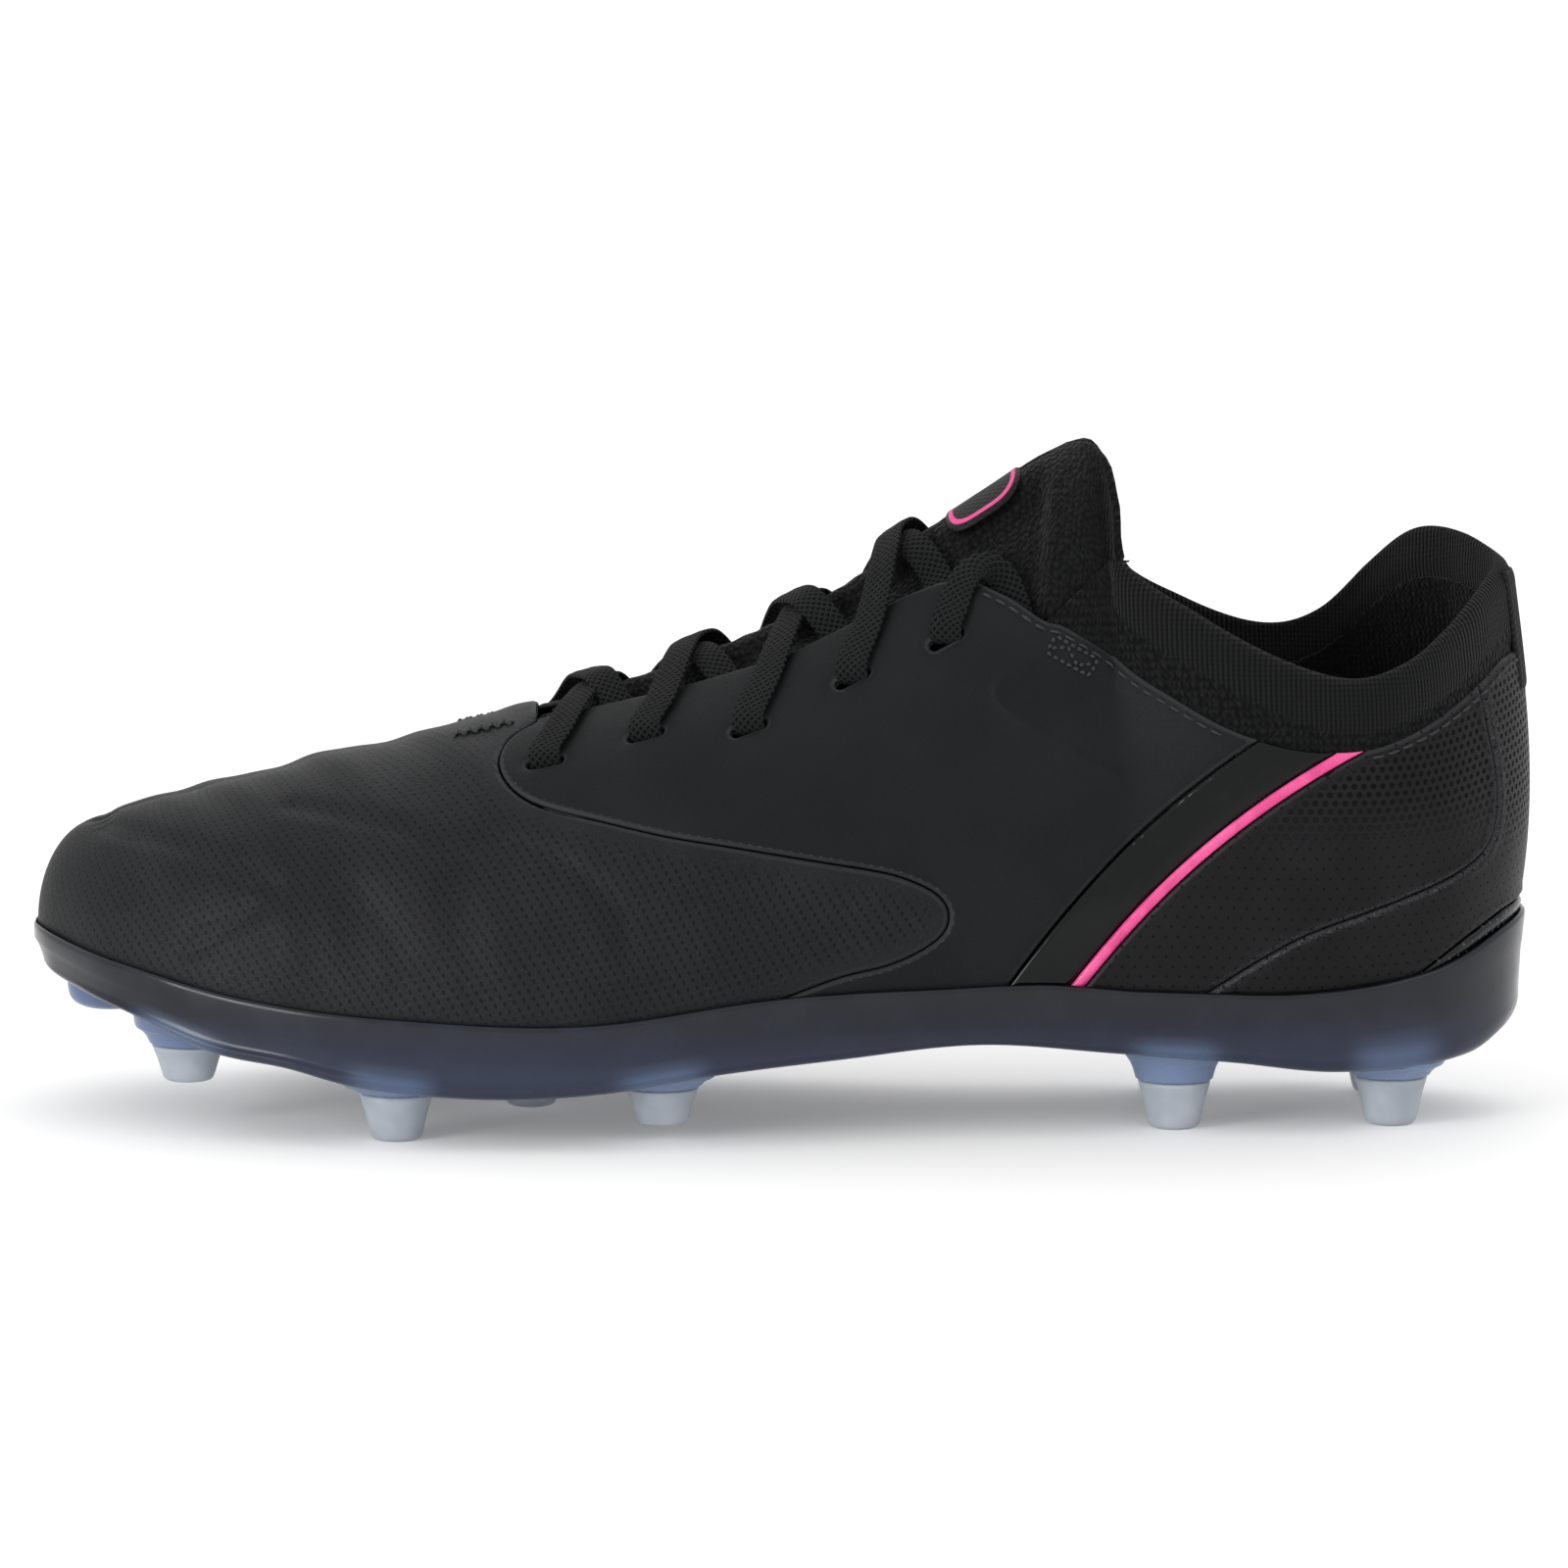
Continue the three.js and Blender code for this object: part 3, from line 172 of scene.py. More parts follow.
def curve2(points, step):
    """A smooth line through 2-D points, resampled evenly."""
    p = np.array(points, float)
    d = np.r_[0, np.cumsum(np.hypot(*np.diff(p, axis=0).T) ** 0.5)]
    fine = through(np.c_[d, p], np.linspace(0, d[-1], len(p) * 24))
    s = np.r_[0, np.cumsum(np.hypot(*np.diff(fine, axis=0).T))]
    n = max(int(round(s[-1] / step)), 2)
    q = np.linspace(0, s[-1], n + 1)
    return np.c_[np.interp(q, s, fine[:, 0]), np.interp(q, s, fine[:, 1])]


def shifted(line, d):
    """A 2-D line moved sideways by d."""
    p = np.array(line, float)
    t = unit(np.gradient(p, axis=0))
    return p + np.c_[-t[:, 1], t[:, 0]] * d


def bezier2(a, b, c, n):
    t = np.linspace(0, 1, n)[:, None]
    return (1 - t) ** 2 * np.array(a, float) + 2 * t * (1 - t) * np.array(b, float) + t * t * np.array(c, float)


# ------------------------------------------------------------------ the sheet that every panel lies on
def feather(side, t):
    """The line where the upper meets the sole."""
    t = np.asarray(t, float)
    x = (-1.75 - 139.75 * np.cos(PI * t)) * LENGTH_K
    y = station(FEATHER_Y[side], t, ()) * WIDTH_K
    return np.stack([x, y, station(FEATHER_Z[side], t)], -1)


def outward(side, t):
    """The plan normal of that line, pointing away from the shoe."""
    t = np.asarray(t, float)
    d = feather(side, np.clip(t + 1e-3, 0, 1)) - feather(side, np.clip(t - 1e-3, 0, 1))
    n = np.stack([-d[..., 1], d[..., 0], 0 * d[..., 0]], -1) * (1 if side == "medial" else -1)
    n = np.where((t < 1e-6)[..., None], [-1.0, 0, 0], n)
    n = np.where((t > 1 - 1e-6)[..., None], [1.0, 0, 0], n)
    return unit(n)


def sheet(side, t, v):
    """The last: v is -1 at the bed, 0 at the sole line and 1 at the ridge or the rim."""
    t, v = np.broadcast_arrays(np.asarray(t, float), np.asarray(v, float))
    F, n = feather(side, t), outward(side, t)
    T = through(RIDGE + RIM[side], t, (0, 2)) * [LENGTH_K, WIDTH_K, 1]
    h = (T[..., 2] - F[..., 2])[..., None]
    up = np.array([0, 0, 1.0])
    P1 = F + n * station(WALL_LEAN, t)[..., None] + up * h * station(WALL_RISE, t)[..., None]
    reach = np.hypot(T[..., 0] - F[..., 0], T[..., 1] - F[..., 1])[..., None]
    rim = smooth(0.59, 0.67, t)[..., None]
    P2 = (T + n * reach * 0.6) * (1 - rim) + (T + n * 3 - up * h * 0.33) * rim
    s = np.clip(v, 0, 1)[..., None]
    high = F * (1 - s) ** 3 + 3 * P1 * s * (1 - s) ** 2 + 3 * P2 * s * s * (1 - s) + T * s**3
    G = F - n * 4.5
    G[..., 2] = station(BED_Z, t)
    w = np.clip(-v, 0, 1)[..., None]
    Q1 = F - unit(P1 - F) * (F - G)[..., 2:3] * 0.6
    Q2 = G + n * 2.2 + up * 0.8
    low = F * (1 - w) ** 3 + 3 * Q1 * w * (1 - w) ** 2 + 3 * Q2 * w * w * (1 - w) + G * w**3
    return np.where(v[..., None] >= 0, high, low)


NT, NV = 480, 150
VS = np.concatenate([np.linspace(-1, 0, 31)[:-1], np.linspace(0, 1, NV - 29)])
TS = np.linspace(0, 1, NT + 1)


def make_grid():
    """The sheet and its normals on a fine grid, with the two sides sharing theirs where they meet."""
    P = {s: sheet(s, TS[:, None], VS[None, :]) for s in SIDES}
    N = {}
    for s in SIDES:
        n = np.cross(np.gradient(P[s], axis=0), np.gradient(P[s], axis=1))
        n *= 1 if s == "lateral" else -1
        N[s] = n
    ridge = int(round(0.6 * NT))
    for a, b in ((np.s_[0], np.s_[0]), (np.s_[-1], np.s_[-1])):
        both = N["lateral"][a] + N["medial"][b]
        N["lateral"][a], N["medial"][b] = both, both.copy()
    both = N["lateral"][: ridge + 1, -1] + N["medial"][: ridge + 1, -1]
    N["lateral"][: ridge + 1, -1], N["medial"][: ridge + 1, -1] = both, both.copy()
    for s in SIDES:
        N[s][0, -1] = N[s][0, -2]        # all the lines of the toe meet in one point there
        N[s] /= np.maximum(np.linalg.norm(N[s], axis=-1, keepdims=True), 1e-9)
    return P, N


GRID_P, GRID_N = make_grid()
ARC_T = {s: np.r_[0, np.cumsum(np.linalg.norm(np.diff(GRID_P[s][:, 60], axis=0), axis=1))] for s in SIDES}
ARC_V = {s: np.concatenate([np.zeros((NT + 1, 1)), np.cumsum(
    np.linalg.norm(np.diff(GRID_P[s], axis=1), axis=2), axis=1)], axis=1) for s in SIDES}


def lookup(field, t, v):
    """A grid value between the grid's points."""
    u = np.clip(np.asarray(t, float), 0, 1) * NT
    w = np.interp(np.asarray(v, float), VS, np.arange(len(VS)))
    i = np.clip(u.astype(int), 0, NT - 1)
    j = np.clip(w.astype(int), 0, len(VS) - 2)
    a, b = u - i, w - j
    if field.ndim == 3:
        a, b = a[..., None], b[..., None]
    return (field[i, j] * (1 - a) * (1 - b) + field[i + 1, j] * a * (1 - b)
            + field[i, j + 1] * (1 - a) * b + field[i + 1, j + 1] * a * b)


def at(side, t, v, d=0.0):
    """Points at distance d outside the sheet."""
    n = unit(lookup(GRID_N[side], t, v))
    return lookup(GRID_P[side], t, v) + n * np.asarray(d, float)[..., None]


def locate(side, pts, axes=(0, 2)):
    """Sheet coordinates of points given in side view (x, z) or in plan (x, y)."""
    pts = np.atleast_2d(np.array(pts, float)) * [LENGTH_K, 1 if axes[1] == 2 else WIDTH_K]
    flat = GRID_P[side][:, 30:, :][..., list(axes)]
    out = []
    for p in pts:
        d = ((flat - p) ** 2).sum(-1)
        i, j = np.unravel_index(np.argmin(d), d.shape)
        out.append([TS[i], VS[30 + j]])
    tv = np.array(out)
    for _ in range(6):
        e = 1e-3
        f, ahead, under = (lookup(GRID_P[side], *(tv + move).T)[:, list(axes)] for move in ([0, 0], [e, 0], [0, -e]))
        ft, fv = (ahead - f) / e, (under - f) / -e
        det = ft[:, 0] * fv[:, 1] - ft[:, 1] * fv[:, 0]
        det = np.where(np.abs(det) < 1e-3, 1e9, det)
        r = pts - f
        step = np.c_[r[:, 0] * fv[:, 1] - r[:, 1] * fv[:, 0], ft[:, 0] * r[:, 1] - ft[:, 1] * r[:, 0]] / det[:, None]
        tv = np.clip(tv + np.clip(step, -0.01, 0.01), [0, -1], [1, 1])
    return tv


# ------------------------------------------------------------------ moving about on the sheet
def slopes(side, tv):
    e, f = 1e-3, 2e-3
    t, v = np.clip(tv[:, 0], e, 1 - e), np.clip(tv[:, 1], -1 + f, 1 - f)
    g = GRID_P[side]
    return ((lookup(g, t + e, v) - lookup(g, t - e, v)) / (2 * e),
            (lookup(g, t, v + f) - lookup(g, t, v - f)) / (2 * f))


def walk(side, tv, step):
    """Sheet coordinates after a small step in space, along the sheet."""
    pt, pv = slopes(side, tv)
    a, b, c = (pt * pt).sum(1), (pt * pv).sum(1), (pv * pv).sum(1)
    r, s = (step * pt).sum(1), (step * pv).sum(1)
    det = np.maximum(a * c - b * b, 1e-3)
    return tv + np.c_[(c * r - b * s) / det, (a * s - b * r) / det]


def beside(side, tv, d):
    """A line on the sheet moved sideways by d millimetres."""
    go = np.gradient(at(side, *tv.T), axis=0)
    go /= np.maximum(np.linalg.norm(go, axis=1, keepdims=True), 1e-9)
    return walk(side, tv, np.cross(lookup(GRID_N[side], *tv.T), go) * d)


def on_sheet(side, line, axes=(0, 2)):
    """The part of a side-view or plan line that lies on the sheet, in sheet coordinates."""
    line = np.array(line, float)
    tv = locate(side, line, axes)
    p = at(side, *tv.T)[:, list(axes)]
    goal = line * [LENGTH_K, 1 if axes[1] == 2 else WIDTH_K]
    return tv[np.hypot(*(p - goal).T) < 0.25]


def ridge_at(x):
    """The sheet coordinates where the ridge is at x."""
    return np.array([[np.interp(x * LENGTH_K, GRID_P["lateral"][:288, -1, 0], TS[:288]), 1.0]])


def heel_at(side, z):
    """The sheet coordinates where the heel's centre line is at z."""
    return np.array([[1.0, np.interp(z, GRID_P[side][-1, 30:, 2], VS[30:])]])


def down(tv, at_end=False):
    """The line carried on below the sole line."""
    k = -1 if at_end else 0
    foot = np.array([[tv[k, 0], LOW_V]])
    keep = tv[tv[:, 1] > LOW_V + 0.02]
    return np.r_[keep, foot] if at_end else np.r_[foot, keep]


def straight(points, step=1.0):
    """A polyline in steps."""
    out = []
    for a, b in zip(points, points[1:]):
        out.append(np.linspace(a, b, max(int(math.dist(a, b) / step), 1) + 1)[:-1])
    return np.concatenate(out + [np.array([points[-1]], float)])


def outline(points):
    """A seam: smooth between its straight first and last stretches."""
    return np.r_[straight(points[:2])[:-1], curve2(points[1:-1], 1.0), straight(points[-2:])[1:]]


SEAM_XZ, COLLAR_XZ = outline(VAMP_SEAM), outline(COLLAR_LINE)
REAR_XZ, CLIP_XZ = outline(REAR_SEAM), outline(HEEL_CLIP_LINE)
STRIPE_XZ = np.r_[straight([[124, 89], [121, 80]])[:-1], bezier2(*STRIPE, 110)]
KNIT_XZ = straight(COLLAR_SEAM)
THROAT_XY = {s: curve2(THROAT[s], 1.0) for s in SIDES}
PIPE = PIPING_WIDTH / 2
STRIPE_CUTS = (-PIPE - GAP, -PIPE, PIPE, PIPE + GAP, PIPE + GAP + GLOSS_BAND_WIDTH, PIPE + 2 * GAP + GLOSS_BAND_WIDTH)
EYELET_TV = {s: locate(s, EYELETS) for s in SIDES}
EMBOSS_XZ = curve2(EMBOSS, 1.0)


def slot_loop(side, k):
    """The stadium-shaped lace slot round one eyelet."""
    tv = EYELET_TV[side][k:k + 1]
    pt, _ = slopes(side, tv)
    n = lookup(GRID_N[side], *tv.T)
    along = pt / np.linalg.norm(pt)
    rise = np.cross(n, along)
    rise /= np.linalg.norm(rise)
    a = np.linspace(0, 2 * PI, 29)[:-1]
    x = 2.5 * np.sign(np.cos(a)) + 1.1 * np.cos(a)
    return walk(side, np.repeat(tv, 28, 0), along * x[:, None] + rise * (1.2 * np.sin(a))[:, None])


def cut_lines(side):
    """Every line that a panel is cut along: name, sheet coordinates, closed or not."""
    out = []
    for d in (-GAP / 2, GAP / 2):
        tv = on_sheet(side, shifted(SEAM_XZ, d))
        out.append(("seam", np.r_[down(tv), ridge_at(THROAT_BASE_X - d)], False))
        tv = on_sheet(side, shifted(COLLAR_XZ, d))
        out.append(("collar", np.r_[tv, heel_at(side, COLLAR_END_Z + d)], False))
        tv = on_sheet(side, shifted(REAR_XZ, d))
        out.append(("rear", down(tv), False))
        tv = on_sheet(side, shifted(CLIP_XZ, d))
        out.append(("clip", np.r_[down(tv), heel_at(side, CLIP_END_Z + d)], False))
        tv = on_sheet(side, shifted(KNIT_XZ, math.copysign(KNIT_GAP / 2, d)))
        out.append(("knit", tv, False))
    for d in STRIPE_CUTS:
        tv = on_sheet(side, shifted(STRIPE_XZ, -d))
        out.append(("stripe%d" % STRIPE_CUTS.index(d), down(tv, True), False))
    tv = on_sheet(side, THROAT_XY[side], (0, 1))
    out.append(("throat", np.r_[ridge_at(THROAT_BASE_X), tv], False))
    out += [("slot", slot_loop(side, k), True) for k in range(len(EYELETS))]
    return out


# ------------------------------------------------------------------ one fine mesh of the whole sheet
SPAN = np.array([330.0, 84.0])


def even_points(step):
    """Staggered points over the sheet, about step millimetres apart."""
    out, v, odd = [], LOW_V + 0.012, 0
    while v < 0.995:
        t = np.arange(step * (0.5 + 0.5 * odd) / SPAN[0], 1 - 0.2 * step / SPAN[0], step / SPAN[0])
        out.append(np.c_[t, np.full(len(t), v)])
        v, odd = v + step * 0.87 / SPAN[1], 1 - odd
    return np.concatenate(out)


def near(points, lines):
    """Distance of each point to the nearest of some points."""
    tree = KDTree(len(lines))
    for i, q in enumerate(lines):
        tree.insert((q[0], q[1], q[2] if len(q) > 2 else 0.0), i)
    tree.balance()
    return np.array([tree.find((q[0], q[1], q[2] if len(q) > 2 else 0.0))[2] for q in points])


def triangulate(side, step):
    """Triangles that follow every cut line, finer beside the lines than elsewhere."""
    lines = cut_lines(side)
    coords, edges = [], []

    def add(tv, closed):
        n0 = len(coords)
        coords.extend(map(tuple, np.clip(tv, [0, LOW_V], [1, 1]) * SPAN))
        n = len(tv)
        edges.extend((n0 + i, n0 + i + 1) for i in range(n - 1))
        if closed:
            edges.append((n0 + n - 1, n0))

    n, m = 230, 84
    t, v = np.linspace(0, 1, n + 1), np.linspace(LOW_V, 1, m + 1)
    low, rear, top, toe = np.c_[t, t * 0 + LOW_V], np.c_[v * 0 + 1, v], np.c_[t, t * 0 + 1], np.c_[v * 0, v]
    add(np.r_[low, rear[1:], top[::-1][1:], toe[::-1][1:-1]], True)
    hard = [np.array(coords)]
    for _, tv, closed in lines:
        add(tv, closed)
        hard.append(np.clip(tv, [0, LOW_V], [1, 1]) * SPAN)
    soft = []
    for name, tv, closed in lines:
        loop = tv[1:-1] if not closed else tv
        for e in ((0.22, 0.55, 1.05) if name != "slot" else (0.3, 0.8)):
            soft += [beside(side, loop, e), beside(side, loop, -e)]
    tv = on_sheet(side, EMBOSS_XZ)
    soft += [tv] + [beside(side, tv, e) for e in (-1.3, -0.7, 0.7, 1.3)]
    soft = np.concatenate(soft)
    soft = soft[((soft > [0.002, LOW_V + 0.01]) & (soft < [0.998, 0.995])).all(1)] * SPAN
    hard = np.concatenate(hard)
    soft = soft[near(soft, hard) > 0.18]
    _, first = np.unique(np.round(soft / 0.3).astype(int), axis=0, return_index=True)
    soft = soft[np.sort(first)]
    grid = even_points(step) * SPAN
    grid = grid[near(grid, np.r_[hard, soft]) > step * 0.62]
    coords.extend(map(tuple, soft))
    coords.extend(map(tuple, grid))
    verts, _, faces, *_ = delaunay_2d_cdt([Vector(c) for c in coords], edges, [], 0, 1e-4)
    tv = np.array([[p.x, p.y] for p in verts]) / SPAN
    tri = np.array([f for f in faces if len(f) == 3])
    a, b, c = (tv[tri[:, k]] * SPAN for k in range(3))
    area = (b[:, 0] - a[:, 0]) * (c[:, 1] - a[:, 1]) - (b[:, 1] - a[:, 1]) * (c[:, 0] - a[:, 0])
    tri = tri[np.abs(area) > 1e-5]
    return tv, tri, lines


def inside(poly, x, y):
    """Which points are inside a polygon."""
    poly = np.array(poly, float)
    hit = np.zeros(len(x), bool)
    for (x0, y0), (x1, y1) in zip(poly, np.roll(poly, -1, 0)):
        if y0 == y1:
            continue
        cross = ((y0 > y) != (y1 > y)) & (x < (x1 - x0) * (y - y0) / (y1 - y0) + x0)
        hit ^= cross
    return hit


def collar_z(x):
    return np.interp(x, *COLLAR_XZ.T)


def mark(d, centre, width):
    """A soft ridge at one distance from a line."""
    return np.exp(-((d - centre) / width) ** 2)


class Sheet:
    """The triangulated sheet of one side, with what each triangle belongs to."""

    def __init__(self, side, step):
        self.side = side
        self.tv, self.tri, self.lines = triangulate(side, step)
        self.p = at(side, *self.tv.T)
        self.n = unit(lookup(GRID_N[side], *self.tv.T))
        a, b, c = (self.p[self.tri[:, k]] for k in range(3))
        flip = (np.cross(b - a, c - a) * self.n[self.tri[:, 0]]).sum(1) < 0
        self.tri[flip] = self.tri[flip][:, ::-1]
        mid = self.tv[self.tri].mean(1)
        self.mid_tv = mid
        q = at(side, *mid.T) / [LENGTH_K, WIDTH_K, 1]
        x, y, z = q.T
        self.mid = q

        def region(line, d, *corners):
            return inside([*shifted(line, d), *corners], x, z)

        front = lambda g: region(SEAM_XZ, g, [-190, 140], [-190, 0])
        above = lambda g: region(COLLAR_XZ, g, [190, 92 + g], [190, 150])
        behind = lambda g: region(REAR_XZ, -g, [190, 95], [190, 0])
        low_heel = lambda g: region(CLIP_XZ, -g, [190, 44], [190, 0])
        ahead = lambda d: region(STRIPE_XZ, -d, [-190, 0], [-190, 160], [124, 160])

        lips = [*THROAT_XY["lateral"], *THROAT_XY["medial"][::-1]]
        throat = inside(lips, x, y) & (self.mid_tv[:, 1] > 0.5)
        slots = np.zeros(len(x), bool)
        for name, tv, _ in self.lines:
            if name == "slot":
                slots |= inside(tv, mid[:, 0], mid[:, 1])
        g = GAP / 2
        c = STRIPE_CUTS
        below = ~above(-g)
        knit, not_collar = (region(KNIT_XZ, d, [-60, 150], [-60, 40]) for d in (KNIT_GAP / 2, -KNIT_GAP / 2))
        t, v = mid.T
        crown = (t > 0.35) & (t < 0.62) & (v > 0.52) & (x > -53) & (x < 50)
        up = above(-4.5)
        self.part = {
            "vamp": front(g),
            "quarter": below & ahead(c[5]) & ~front(-g) & ~throat & ~slots,
            "gloss_band": below & ahead(c[3]) & ~ahead(c[4]),
            "piping": below & ahead(c[1]) & ~ahead(c[2]),
            "heel_panel": below & ~ahead(c[0]) & ~behind(-g),
            "heel_wrap": behind(g) & ~low_heel(-g) & below,
            "heel_clip": low_heel(g),
            "collar_knit": up & ~not_collar & (t > 0.56),
            "tongue": ((knit & up & (x > 30)) | crown) & (knit | (z < 93)),
        }
        for name in self.part:
            self.part[name] &= v > LOW_V

    def to_lines(self, *names):
        pts = [at(self.side, *np.clip(tv, [0, LOW_V], [1, 1]).T) for n, tv, _ in self.lines if n in names]
        fine = []
        for p in pts:
            k = np.linspace(0, len(p) - 1, len(p) * 4)
            fine.append(np.stack([np.interp(k, np.arange(len(p)), p[:, i]) for i in range(3)], 1))
        return near(self.p, np.concatenate(fine))


# ------------------------------------------------------------------ from arrays to objects
def mesh_of(name, verts, faces):
    me = bpy.data.meshes.new(name)
    me.from_pydata((np.asarray(verts) * MM).tolist(), [], [tuple(int(k) for k in f) for f in faces])
    return me


def register(me, mat, body, stands_for, attrs):
    """The object of a finished mesh, with its material and body."""
    for key, val in (attrs or {}).items():
        me.attributes.new(key, "FLOAT", "POINT").data.foreach_set("value", np.asarray(val, np.float32))
    me.polygons.foreach_set("use_smooth", [True] * len(me.polygons))
    me.materials.append(mat)
    ob = bpy.data.objects.new(me.name, me)
    bpy.context.scene.collection.objects.link(ob)
    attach(ob, body)
    if stands_for:
        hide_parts(*stands_for)
    return ob


def build(name, verts, faces, mat, slot, body=BODY, stands_for=(), uv=None, attrs=None):
    me = mesh_of(name, verts, faces)
    me.validate(verbose=False)
    if uv is not None:
        layer = me.uv_layers.new(name="mm")
        idx = np.zeros(len(me.loops), np.int64)
        me.loops.foreach_get("vertex_index", idx)
        layer.data.foreach_set("uv", np.asarray(uv, np.float32)[idx].ravel())
    return register(me, mat, body, stands_for, attrs)


def merge_doubles(ob, sliver=0.0):
    """Joins points that coincide, and turns every face outward."""
    bm = bmesh.new()
    bm.from_mesh(ob.data)
    bmesh.ops.remove_doubles(bm, verts=bm.verts, dist=2e-6)
    if sliver:
        bmesh.ops.dissolve_degenerate(bm, edges=bm.edges, dist=sliver)
    bmesh.ops.recalc_face_normals(bm, faces=bm.faces)
    bm.to_mesh(ob.data)
    bm.free()


def tube(rows, m, base=0, turned=False):
    """Quads between closed rings of m points."""
    out = []
    for i in range(rows):
        for j in range(m):
            a, b = base + i * m + j, base + i * m + (j + 1) % m
            out.append((a, a + m, b + m, b) if turned else (a, b, b + m, a + m))
    return out


def caps(rows, m, base=0):
    """The faces that close the two ends of a tube."""
    return [tuple(range(base, base + m))[::-1], tuple(range(base + rows * m, base + (rows + 1) * m))]


def leaves(rows, cols, other):
    """Quads of an open grid and of its underside, whose points start at the index other."""
    out, k = [], cols + 1
    for i in range(rows):
        for j in range(cols):
            a = i * k + j
            out += [(a, a + k, a + k + 1, a + 1), (other + a, other + a + 1, other + a + k + 1, other + a + k)]
    return out


def rolled(e, reach, depth):
    """How far an edge has turned down at distance e from it."""
    s = np.clip(1 - e / reach, 0, 1)
    return -depth * (1 - np.sqrt(np.maximum(1 - s * s, 0)))


def without_repeats(tri):
    """The rows to keep: a repeated triangle once, a triangle and its reverse not at all."""
    group = np.unique(np.sort(tri, axis=1), axis=0, return_inverse=True)[1].ravel()
    turn = 2 * ((tri[:, 0] < tri[:, 1]).astype(int) + (tri[:, 1] < tri[:, 2]) + (tri[:, 2] < tri[:, 0])) - 3
    net = np.sign(np.bincount(group, turn))
    rows = np.flatnonzero(turn == net[group])
    return rows[np.sort(np.unique(group[rows], return_index=True)[1])]


def layer(name, sheets, part, outer, inner, mat, slot, stands_for, chart="ridge", attrs=None, body=BODY):
    """A closed panel of the sheet; outer(sheet) and inner(sheet) are offsets at its vertices."""
    V, N, DO, DI, T, UV, A = [], [], [], [], [], [], {k: [] for k in (attrs or {})}
    base = 0
    for sh in sheets:
        keep = sh.part[part] if isinstance(part, str) else part(sh)
        tri = sh.tri[keep]
        if not len(tri):
            continue
        used, tri = np.unique(tri, return_inverse=True)
        tri = tri.reshape(-1, 3)
        V.append(sh.p[used])
        N.append(sh.n[used])
        DO.append(np.broadcast_to(outer(sh) if callable(outer) else outer, (len(sh.p),))[used])
        DI.append(np.broadcast_to(inner(sh) if callable(inner) else inner, (len(sh.p),))[used])
        sign = -1 if sh.side == "lateral" else 1
        t, v = sh.tv[used].T
        rise, along = lookup(ARC_V[sh.side], t, v), np.interp(t, TS, ARC_T[sh.side])
        top = lookup(ARC_V[sh.side], t, t * 0 + 1)
        UV.append(np.c_[along, sign * (top - rise)] if chart == "ridge"
                  else np.c_[sign * (ARC_T[sh.side][-1] - along), rise])
        for k, f in (attrs or {}).items():
            A[k].append(f(sh)[used])
        T.append(tri + base)
        base += len(used)
    V, N, DO, DI, T, UV = (np.concatenate(q) for q in (V, N, DO, DI, T, UV))
    A = {k: np.concatenate(q) for k, q in A.items()}
    cells = np.round(V * 50).astype(np.int64)
    _, first, back = np.unique(cells, axis=0, return_index=True, return_inverse=True)
    back = back.ravel()
    W = back[T]
    ok = (W[:, 0] != W[:, 1]) & (W[:, 1] != W[:, 2]) & (W[:, 0] != W[:, 2])
    T, W = T[ok], W[ok]
    rows = without_repeats(W)
    T, W = T[rows], W[rows]
    V, N, DO, DI = V[first], N[first], DO[first], DI[first]
    A = {k: np.r_[q[first], q[first]] for k, q in A.items()}
    n = len(V)
    pairs = np.concatenate([W[:, [0, 1]], W[:, [1, 2]], W[:, [2, 0]]])
    uvs = np.concatenate([UV[T[:, [0, 1]]], UV[T[:, [1, 2]]], UV[T[:, [2, 0]]]])
    key = pairs[:, 0] * n + pairs[:, 1]
    rim = np.flatnonzero(~np.isin(key, pairs[:, 1] * n + pairs[:, 0]))
    rim = rim[np.sort(np.unique(key[rim], return_index=True)[1])]
    a, b = pairs[rim].T
    ua, ub = uvs[rim][:, 0], uvs[rim][:, 1]
    faces = [*W, *(W[:, ::-1] + n), *np.c_[b, a, a + n, b + n]]
    loops = np.concatenate([q.reshape(-1, 2) for q in (UV[T], UV[T[:, ::-1]], np.stack([ub, ua, ua, ub], 1))])
    verts = np.r_[V + N * DO[:, None], V + N * DI[:, None]]
    me = mesh_of(name, verts, faces)
    me.uv_layers.new(name="mm").data.foreach_set("uv", loops.astype(np.float32).ravel())
    ob = register(me, mat, body, stands_for, A)
    me.validate(verbose=False)
    return ob


# ------------------------------------------------------------------ materials
def lin(r, g, b):
    """A display colour as linear light."""
    return tuple(((c / 255 + 0.055) / 1.055) ** 2.4 if c > 10 else c / 255 / 12.92 for c in (r, g, b)) + (1.0,)


